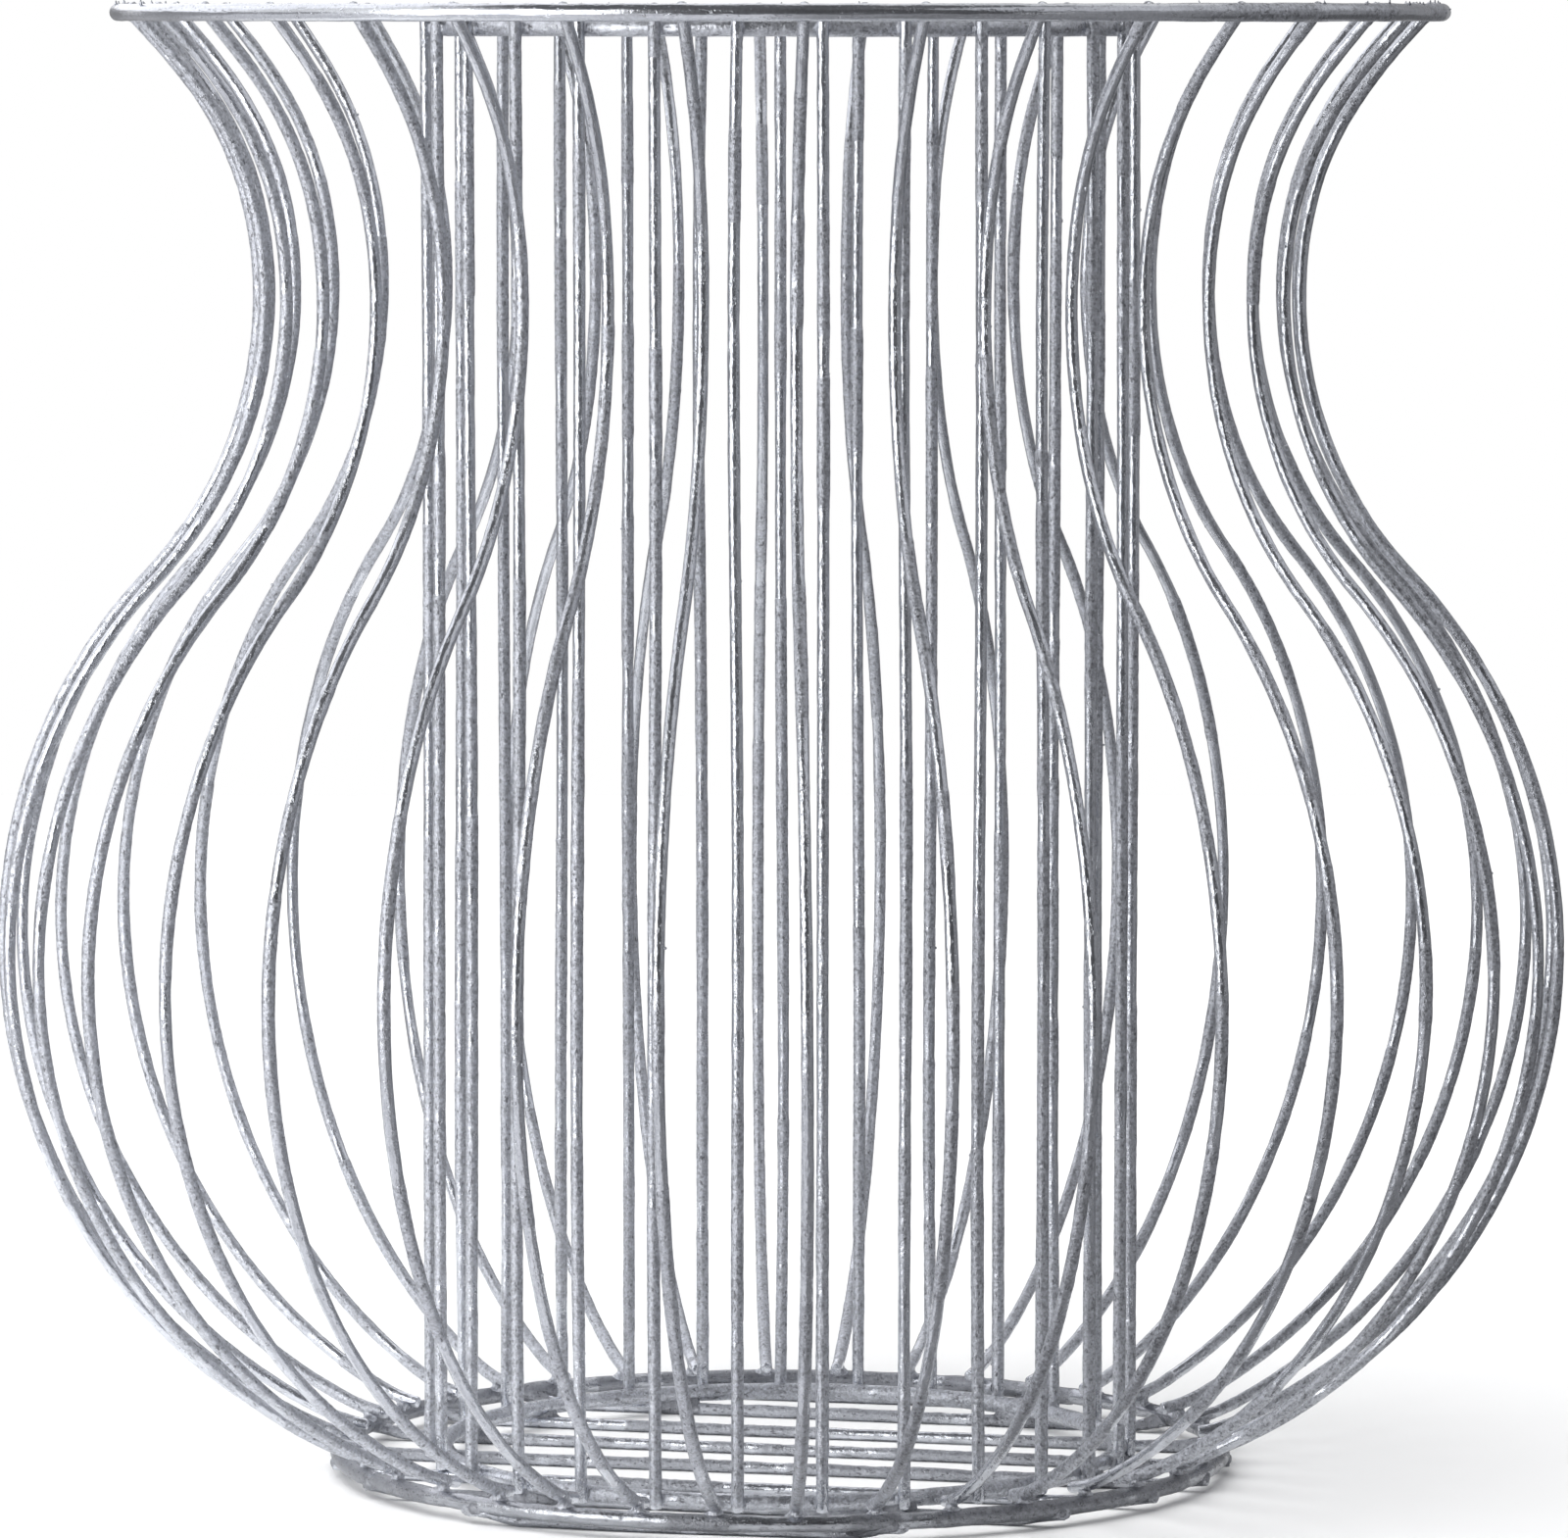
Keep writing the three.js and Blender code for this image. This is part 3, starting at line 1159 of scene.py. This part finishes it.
@dataclass
class BaseGrille:
    """The base: an outer ring on parallel cross wires."""

    sizes: BasketSizes
    finish: bpy.types.Material
    # Finish of the ring: the darker copy of the base zinc, painted shade.
    shaded_ring_finish: bpy.types.Material
    stock: WireStock = field(default_factory=WireStock)
    coat: ZincCoat = field(
        default_factory=lambda: ZincCoat(
            swell=0.00022, ripple=0.00014, lump=0.0001, run_thickness=(0.00005, 0.0002),
            base_dullness=(0.3, 0.6),
        )
    )
    side_bow: tuple[float, ...] = (0.0012, 0.0007, 0.0003)
    dull_chance: float = 0.7
    path_points: int = 120
    seam: float = math.radians(150.0)

    def build(self) -> None:
        """Make the ring and the cross wires under it."""
        size = self.sizes
        node = "base_grille"
        ring = self.stock.ring(size.base_ring_radius, size.base_ring_height, size.base_ring_wire, self.seam)
        ring.dip(self.coat, np.full_like(ring.along, self.dull_chance), random.Random("base ring"))
        ring.finished("base_ring_wire", self.shaded_ring_finish, node)
        for index in range(size.cross_count):
            chance = random.Random(f"cross wire {index}")
            centre = CrossLine(size, index)
            places = np.linspace(-centre.half, centre.half, self.path_points)
            path = np.array([centre.point(float(place)) for place in places])
            line, wire = self.stock.rod(path, FRONT, size.cross_wire)
            wire.bow(FRONT, [chance.uniform(-a, a) for a in self.side_bow])
            wire.cut_flush(size.base_ring_radius + size.base_ring_wire / 2)
            wire.turn(size.cross_turn)
            wire.dip(self.coat, np.full_like(line.along, self.dull_chance), chance)
            wire.finished(f"cross_wire_{index + 1}", self.finish, node)


@dataclass
class WeldBeads:
    """Weld metal under zinc at one kind of crossing: blobs on both wires, melted into one skin."""

    name: str
    finish: bpy.types.Material
    voxel: float = 0.00046
    smoothing: int = 5
    flow: float = 0.5
    lump_size: float = 0.0022
    lump: float = 0.0004
    dullness: float = 0.85
    joint: bmesh.types.BMesh = field(default_factory=bmesh.new)
    joints: bmesh.types.BMesh = field(default_factory=bmesh.new)

    def blob(self, place: Vector, radius: float) -> None:
        """Add a blob of metal to the joint at hand."""
        here = Matrix.Translation(place)
        bmesh.ops.create_icosphere(self.joint, subdivisions=2, radius=radius, matrix=here)

    def row(self, places: Iterable[Vector], middle: float, ends: float) -> None:
        """Add blobs along a wire, thickest half way.

        Args:
            places: Centres of the blobs.
            middle: Radius half way.
            ends: Radius at both ends.
        """
        centres = list(places)
        for index, place in enumerate(centres):
            share = math.sin(math.pi * index / (len(centres) - 1))
            self.blob(place, ends + (middle - ends) * share)

    def close_joint(self) -> None:
        """Put the joint at hand with the others."""
        mesh = bpy.data.meshes.new("joint")
        self.joint.to_mesh(mesh)
        self.joints.from_mesh(mesh)
        bpy.data.meshes.remove(mesh)
        self.joint.clear()

    def melt(self) -> bpy.types.Object:
        """Melt the blobs together and set them on the basket.

        Returns:
            The piece.
        """
        rough = bpy.data.meshes.new(self.name)
        self.joints.to_mesh(rough)
        self.joints.free()
        self.joint.free()
        mould = bpy.data.objects.new(f"{self.name}_mould", rough)
        bpy.context.scene.collection.objects.link(mould)
        remesh = mould.modifiers.new("melt", "REMESH")
        remesh.mode = "VOXEL"
        remesh.voxel_size = self.voxel
        smooth = mould.modifiers.new("flow", "SMOOTH")
        smooth.factor = self.flow
        smooth.iterations = self.smoothing
        clouds = bpy.data.textures.new(f"{self.name}_lumps", "CLOUDS")
        clouds.noise_scale = self.lump_size
        lumps = mould.modifiers.new("lumps", "DISPLACE")
        lumps.texture = clouds
        lumps.texture_coords = "LOCAL"
        lumps.strength = self.lump
        shaped = mould.evaluated_get(bpy.context.evaluated_depsgraph_get())
        mesh = bpy.data.meshes.new_from_object(shaped)
        mesh.name = self.name
        bpy.data.objects.remove(mould)
        bpy.data.meshes.remove(rough)
        mesh.shade_smooth()
        places = np.empty(len(mesh.vertices) * 3, np.float32)
        mesh.vertices.foreach_get("co", places)
        places[2::3] = np.maximum(places[2::3], 0.0)
        mesh.vertices.foreach_set("co", places)
        mesh.attributes.new(DRAWN, "FLOAT_VECTOR", "POINT").data.foreach_set("vector", places)
        dull = np.full(len(mesh.vertices), self.dullness, np.float32)
        mesh.attributes.new(DULL, "FLOAT", "POINT").data.foreach_set("value", dull)
        return seat_piece(mesh, self.name, self.finish)


@dataclass
class Welds:
    """All the weld beads of the basket: how far they reach along the wires, and how thick they are."""

    sizes: BasketSizes
    finish: bpy.types.Material
    rim_finish: bpy.types.Material
    # Finish of the grille welds: the darker copy of the base zinc, painted shade.
    shaded_base_finish: bpy.types.Material
    per_row: int = 9
    skin: float = 1.07
    fade: float = 0.88
    on_ring: float = 0.90
    ring_reach: Span = (0.004, 0.007)
    foot_swell: Span = (1.0, 1.12)
    foot_reach: Span = (0.004, 0.009)
    foot_past: float = 0.0022
    pillar: Span = (0.0014, 0.0018)
    skirts: tuple[Place, ...] = ((0.0014, 0.40, 0.0015), (0.0027, 0.24, 0.0015))
    skirt_reach: Span = (0.8, 1.2)
    skirt_size: Span = (0.9, 1.1)
    rim_dullness: float = 0.5
    rim_reach: float = 0.004
    tip_back: float = 0.0006
    tip_reach: Span = (0.006, 0.009)
    crotch_back: float = 0.0045
    crotch: Span = (0.0011, 0.0015)
    upright_reach: float = 0.006
    upright_inset: float = 0.0008
    upright_core: Span = (0.0017, 0.0021)
    cross_past: float = 0.005
    cross_reach: Span = (0.006, 0.010)
    cross_swell: Span = (1.0, 1.1)
    wedge_widest: float = 0.0056
    wedge_shares: Span = (0.3, 0.6)
    wedge_size: float = 0.0024
    wedge_fall: float = 0.25
    seam_dullness: float = 0.6
    seam_reach: float = 0.0035
    seam_swell: float = 1.06

    def arc(self, radius: float, angle: float, height: float, reach: float) -> list[Vector]:
        """Places along a ring to both sides of an angle.

        Args:
            radius: Radius of the ring.
            angle: Angle of the middle from the front.
            height: Height of the ring.
            reach: Distance to each side.

        Returns:
            The places.
        """
        spread = np.linspace(-reach, reach, self.per_row) / radius
        return [on_circle(radius, angle + float(s), height) for s in spread]

    def line(self, start: Vector, end: Vector) -> list[Vector]:
        """Places on a straight line between two points."""
        return [start.lerp(end, float(s)) for s in np.linspace(0.0, 1.0, self.per_row)]

    def coat(self, beads: WeldBeads, places: Iterable[Vector], wire: float, swell: float = 1.0) -> None:
        """Thicken a wire along a row of places."""
        beads.row(places, wire / 2 * self.skin * swell, wire / 2 * self.fade)

    def feet(self) -> None:
        """Weld the rib feet on the base ring, each on a short pillar with a skirt."""
        size = self.sizes
        rib = RibLine(size)
        beads = WeldBeads("rib_foot_welds", self.finish)
        radius, height = size.base_ring_radius, size.base_ring_height
        for index in range(size.rib_count):
            chance = random.Random(f"foot weld {index}")
            angle = size.rib_angle(index)
            turn = Matrix.Rotation(angle, 3, "Z")
            swell = chance.uniform(*self.foot_swell)
            on_ring = self.arc(radius, angle, height, chance.uniform(*self.ring_reach))
            self.coat(beads, on_ring, size.base_ring_wire, self.on_ring)
            above = rib.seat_angle - chance.uniform(*self.foot_reach) / rib.lower_arc
            below = rib.seat_angle + self.foot_past / rib.lower_arc
            on_rib = [turn @ rib.on_lower_arc(float(a)) for a in np.linspace(above, below, self.per_row)]
            self.coat(beads, on_rib, size.rib_wire, swell)
            seat = turn @ rib.on_lower_arc(rib.seat_angle)
            beads.blob(seat.lerp(on_circle(radius, angle, height), 0.5), chance.uniform(*self.pillar))
            for reach, rise, blob in self.skirts:
                for side in (-1.0, 1.0):
                    aside = side * reach * chance.uniform(*self.skirt_reach) / radius
                    skirt = on_circle(radius, angle + aside, height)
                    beads.blob(skirt.lerp(seat, rise), blob * chance.uniform(*self.skirt_size))
            beads.close_joint()
        beads.melt()

    def rim(self) -> None:
        """Weld the rib tips inside the rim."""
        size = self.sizes
        rib = RibLine(size)
        beads = WeldBeads("rim_welds", self.rim_finish, dullness=self.rim_dullness)
        for index in range(size.rib_count):
            chance = random.Random(f"rim weld {index}")
            angle = size.rib_angle(index)
            turn = Matrix.Rotation(angle, 3, "Z")
            on_rim = self.arc(size.rim_radius, angle, size.rim_height, self.rim_reach)
            self.coat(beads, on_rim, size.rim_wire, self.on_ring)
            end = turn @ rib.from_tip(self.tip_back)
            start = turn @ rib.from_tip(chance.uniform(*self.tip_reach))
            self.coat(beads, self.line(start, end), size.rib_wire)
            on_axis = on_circle(size.rim_radius, angle, size.rim_height)
            crotch = (turn @ rib.from_tip(self.crotch_back)).lerp(on_axis, 0.5)
            beads.blob(crotch, chance.uniform(*self.crotch))
            beads.close_joint()
        beads.melt()

    def cage(self) -> None:
        """Weld the uprights to both inner rings."""
        size = self.sizes
        reach, inset = self.upright_reach, self.upright_inset
        top, base = size.inner_top_height, size.inner_base_height
        for name, height, low, high in (
            ("cage_top_welds", top, top - reach, size.upright_top - inset),
            ("cage_foot_welds", base, size.upright_foot + inset, base + reach),
        ):
            beads = WeldBeads(name, self.finish)
            for index in range(size.upright_count):
                chance = random.Random(f"{name} {index}")
                angle = size.upright_angle(index)
                on_ring = self.arc(size.inner_ring_radius, angle, height, chance.uniform(*self.ring_reach))
                self.coat(beads, on_ring, size.inner_ring_wire, self.on_ring)
                low_end = on_circle(size.upright_radius, angle, low)
                high_end = on_circle(size.upright_radius, angle, high)
                self.coat(beads, self.line(low_end, high_end), size.upright_wire)
                between = (size.inner_ring_radius + size.upright_radius) / 2
                beads.blob(on_circle(between, angle, height), chance.uniform(*self.upright_core))
                beads.close_joint()
            beads.melt()

    def grille(self) -> None:
        """Weld the cross wires under both base rings."""
        size = self.sizes
        beads = WeldBeads("grille_welds", self.shaded_base_finish)
        turn = Matrix.Rotation(size.cross_turn, 3, "Z")
        for index in range(size.cross_count):
            centre = CrossLine(size, index)
            offset = size.cross_offset(index)
            for radius, height, wire in (
                (size.base_ring_radius, size.base_ring_height, size.base_ring_wire),
                (size.inner_ring_radius, size.inner_base_height, size.inner_ring_wire),
            ):
                if abs(offset) >= radius:
                    continue
                across = math.sqrt(radius**2 - offset**2)
                end = min(size.cross_half(index), across + self.cross_past)
                for side in (-1.0, 1.0):
                    chance = random.Random(f"grille weld {index} {radius} {side}")
                    reach = chance.uniform(*self.cross_reach)
                    places = np.linspace(across - reach, end, self.per_row)
                    on_wire = [turn @ centre.point(side * float(p)) for p in places]
                    crossing = turn @ centre.point(side * across)
                    angle = math.atan2(crossing.x, -crossing.y)
                    self.coat(beads, self.arc(radius, angle, height, reach), wire, self.on_ring)
                    self.coat(beads, on_wire, size.cross_wire, chance.uniform(*self.cross_swell))
                    self.fill(beads, on_wire, radius, height)
                    beads.close_joint()
        beads.melt()

    def fill(self, beads: WeldBeads, on_wire: Iterable[Vector], radius: float, height: float) -> None:
        """Fill the narrow wedge between a cross wire and a ring with zinc.

        Args:
            beads: The beads to add to.
            on_wire: Places on the cross wire.
            radius: Radius of the ring.
            height: Height of the ring.
        """
        for place in on_wire:
            on_ring = on_circle(radius, math.atan2(place.x, -place.y), height)
            apart = (on_ring - place).length
            if apart < self.wedge_widest:
                for share in self.wedge_shares:
                    beads.blob(place.lerp(on_ring, share), self.wedge_size - self.wedge_fall * apart)

    def seams(self) -> None:
        """Swell the places where the ends of each ring meet."""
        size = self.sizes
        beads = WeldBeads("ring_seams", self.finish, dullness=self.seam_dullness)
        for radius, height, wire, seam in (
            (size.rim_radius, size.rim_height, size.rim_wire, RimRing.seam),
            (size.base_ring_radius, size.base_ring_height, size.base_ring_wire, BaseGrille.seam),
            (size.inner_ring_radius, size.inner_base_height, size.inner_ring_wire, InnerCage.seam),
            (size.inner_ring_radius, size.inner_top_height, size.inner_ring_wire, InnerCage.seam),
        ):
            self.coat(beads, self.arc(radius, seam, height, self.seam_reach), wire, self.seam_swell)
            beads.close_joint()
        beads.melt()

    def build(self) -> None:
        """Make every group of beads."""
        self.feet()
        self.rim()
        self.cage()
        self.grille()
        self.seams()


# Studio


@dataclass(frozen=True)
class Board:
    """A plain board or card that only shows as a reflection in the zinc."""

    name: str
    place: Place
    size: Span
    tone: float
    aim: Place = (0.0, 0.0, 0.19)
    cool: float = 1.03

    @classmethod
    def card(cls, name: str, right: float, behind: float, size: Span, tone: float) -> "Board":
        """Card that lies face up, just above the table."""
        return cls(name, (right, behind, 0.003), size, tone, (right, behind, 1.0))

    @property
    def colour(self) -> Colour:
        """Colour of the board, a little cool."""
        return (self.tone, self.tone, self.tone * self.cool, 1.0)


@dataclass
class Studio:
    """White room with a table, a soft box on the left, boards all round and cards on the table."""

    table_place: Place = (-0.10, 0.45, 0.0)
    table_size: Span = (3.2, 2.9)
    table_tone: Colour = (0.92, 0.92, 0.92, 1.0)
    shade_tone: Colour = (0.21, 0.212, 0.218, 1.0)
    white: Colour = (1.0, 1.0, 1.0, 1.0)
    table_sun: float = 3.3
    sun_angle: float = math.radians(80.0)
    sun_tilt: float = math.radians(20.0)
    box_place: Place = (-0.78, -0.76, 0.36)
    box_size: Span = (0.75, 1.00)
    box_power: float = 6.4
    boards: tuple[Board, ...] = (
        Board("front_board", (0.45, -2.60, 0.60), (3.6, 3.4), 0.12),
        Board("right_board", (1.90, -0.10, 0.60), (3.6, 3.4), 0.36),
        Board("high_right_board", (1.30, -0.10, 1.36), (3.2, 1.3), 0.75),
        Board("back_board", (-2.20, 0.80, -0.02), (3.0, 1.1), 0.38),
        Board("far_board", (1.30, 2.00, 0.60), (2.2, 2.4), 0.35),
        Board("rear_board", (-0.30, 2.90, 0.30), (3.0, 1.6), 0.25),
        Board("top_board", (-0.20, -0.70, 2.00), (2.2, 2.8), 0.16),
        Board("left_board", (-1.15, 1.30, 1.50), (3.0, 2.2), 1.40),
        Board.card("front_card", -0.85, -0.5625, (1.70, 0.875), 0.90),
        Board.card("front_right_card", 0.75, -0.5625, (1.50, 0.875), 0.32),
        Board.card("right_card", 0.96, 0.8875, (1.08, 2.025), 0.16),
        Board.card("near_right_card", 0.295, 0.1375, (0.25, 0.525), 0.30),
        Board.card("left_card", -1.05, 0.1375, (1.30, 0.525), 0.75),
        Board.card("back_card", -0.64, 1.15, (2.12, 1.50), 0.42),
    )
    aim: Place = (0.0, 0.0, 0.19)
    camera_place: Place = (0.00099, -2.1914, 0.3709)
    camera_pitch: float = math.radians(5.0)
    lens: float = 198.4
    sensor: float = 36.0

    def stand(self, name: str, bm: bmesh.types.BMesh, material: bpy.types.Material) -> bpy.types.Object:
        """Put a mesh of the studio in the scene.

        Args:
            name: Its name.
            bm: Its shape, freed here.
            material: Its finish.

        Returns:
            The object.
        """
        mesh = bpy.data.meshes.new(name)
        bm.to_mesh(mesh)
        bm.free()
        mesh.materials.append(material)
        made = bpy.data.objects.new(name, mesh)
        bpy.context.scene.collection.objects.link(made)
        return made

    def facing(self, place: Sequence[float], aim: Sequence[float]) -> Matrix:
        """Frame at a place whose -Z looks at an aim.

        Args:
            place: The place.
            aim: The aim.

        Returns:
            The frame.
        """
        turn = (Vector(aim) - Vector(place)).to_track_quat("-Z", "Y").to_matrix()
        return Matrix.Translation(place) @ turn.to_4x4()

    def floor(self) -> None:
        """Lay the white table."""
        bm = bmesh.new()
        place = Matrix.Translation(self.table_place) @ Matrix.Diagonal((*self.table_size, 1.0, 1.0))
        bmesh.ops.create_grid(bm, x_segments=1, y_segments=1, size=0.5, matrix=place)
        white = bpy.data.materials.new("table_white")
        white.use_nodes = True
        graph = Graph(white.node_tree)
        shader = graph.node("ShaderNodeBsdfDiffuse", None, {"Color": self.table_tone})
        graph.node("ShaderNodeOutputMaterial", None, {"Surface": shader.outputs[0]})
        self.stand("table", bm, white)

    def hang(self, board: Board) -> None:
        """Hang a board that the camera and the table don't see.

        Args:
            board: Its place, size and tone.
        """
        bm = bmesh.new()
        place = self.facing(board.place, board.aim) @ Matrix.Diagonal((*board.size, 1.0, 1.0))
        bmesh.ops.create_grid(bm, x_segments=1, y_segments=1, size=0.5, matrix=place)
        grey = bpy.data.materials.new(board.name)
        grey.use_nodes = True
        graph = Graph(grey.node_tree)
        shader = graph.node("ShaderNodeEmission", None, {"Color": board.colour})
        graph.node("ShaderNodeOutputMaterial", None, {"Surface": shader.outputs[0]})
        made = self.stand(board.name, bm, grey)
        made.visible_camera = False
        made.visible_diffuse = False
        made.visible_shadow = False

    def surround(self) -> None:
        """Hang the white room round the table, dimmer where it lights the table."""
        world = bpy.data.worlds.new("room")
        bpy.context.scene.world = world
        world.use_nodes = True
        world.cycles.sampling_method = "NONE"
        graph = Graph(world.node_tree)
        rays = graph.node("ShaderNodeLightPath").outputs
        seen = Value(graph, rays["Is Camera Ray"]) + Value(graph, rays["Is Glossy Ray"])
        seen = seen + Value(graph, rays["Is Transmission Ray"])
        dim = graph.node("ShaderNodeBackground", None, {"Color": self.shade_tone})
        white = graph.node("ShaderNodeBackground", None, {"Color": self.white})
        both = graph.node("ShaderNodeMixShader", None, {0: seen, 1: dim.outputs[0], 2: white.outputs[0]})
        graph.node("ShaderNodeOutputWorld", None, {"Surface": both.outputs[0]})

    def lamps(self) -> None:
        """Light the table evenly and hang the soft box."""
        sun = bpy.data.lights.new("table_sun", "SUN")
        sun.energy = self.table_sun
        sun.angle = self.sun_angle
        above = bpy.data.objects.new("table_sun", sun)
        above.rotation_euler = (0.0, -self.sun_tilt, 0.0)
        above.visible_glossy = False
        bpy.context.scene.collection.objects.link(above)
        lamp = bpy.data.lights.new("soft_box", "AREA")
        lamp.shape = "RECTANGLE"
        lamp.size, lamp.size_y = self.box_size
        lamp.energy = self.box_power
        box = bpy.data.objects.new("soft_box", lamp)
        box.matrix_world = self.facing(self.box_place, self.aim)
        bpy.context.scene.collection.objects.link(box)

    def camera(self) -> None:
        """Stand the camera in front at the height of the rim."""
        data = bpy.data.cameras.new("camera")
        data.lens = self.lens
        data.sensor_width = self.sensor
        camera = bpy.data.objects.new("camera", data)
        camera.location = self.camera_place
        camera.rotation_euler = (math.pi / 2 - self.camera_pitch, 0.0, 0.0)
        bpy.context.scene.collection.objects.link(camera)
        bpy.context.scene.camera = camera

    def build(self) -> None:
        """Set up the whole studio."""
        self.floor()
        for board in self.boards:
            self.hang(board)
        self.surround()
        self.lamps()
        self.camera()
        bpy.context.scene.view_settings.view_transform = "Standard"


def main() -> None:
    """Build the basket, its welds and the studio."""
    logging.basicConfig(level=logging.INFO, format="%(message)s")
    sizes = BasketSizes()
    zinc = ZincFinish("zinc_wire").material()
    smooth = ZincFinish(
        "zinc_rim", bright_roughness=0.19, painted_light_low=0.0, streak_stretch=(1.0, 1.0, 0.05),
        streak_strength=0.45, grain_size=0.0008, grain_strength=1.3, ripple_stretch=(1.0, 1.0, 0.15),
        relief=0.00016,
    ).material()
    # Painted shade on the base: its dull tone is darker than the wall zinc's, and its tone rises more
    # steeply to the back, so it is darker at the front.
    hammered = ZincFinish(
        "zinc_base", dull_tone=(0.41, 0.423, 0.458, 1.0), dull_roughness=0.40, painted_light_backward=1.1,
        painted_light_low=0.0, cloud_size=0.006, cloud_strength=0.5, grain_strength=0.7, crystal_strength=0.25,
        ripple_size=0.0024, ripple_stretch=(1.0, 1.0, 0.8), relief=0.00038,
    )
    # Painted shade: a darker copy of the base zinc, for the outer base ring and the grille welds.
    shaded_ring_zinc = replace(
        hammered, name="zinc_base_ring_painted_shade", bright_tone=(0.41, 0.423, 0.455, 1.0),
        dull_tone=(0.30, 0.309, 0.335, 1.0),
    ).material()
    OuterWall(sizes, zinc).build()
    RimRing(sizes, smooth).build()
    InnerCage(sizes, zinc).build()
    BaseGrille(sizes, hammered.material(), shaded_ring_zinc).build()
    Welds(sizes, zinc, smooth, shaded_ring_zinc).build()
    Studio().build()


if __name__ == "__main__":
    main()
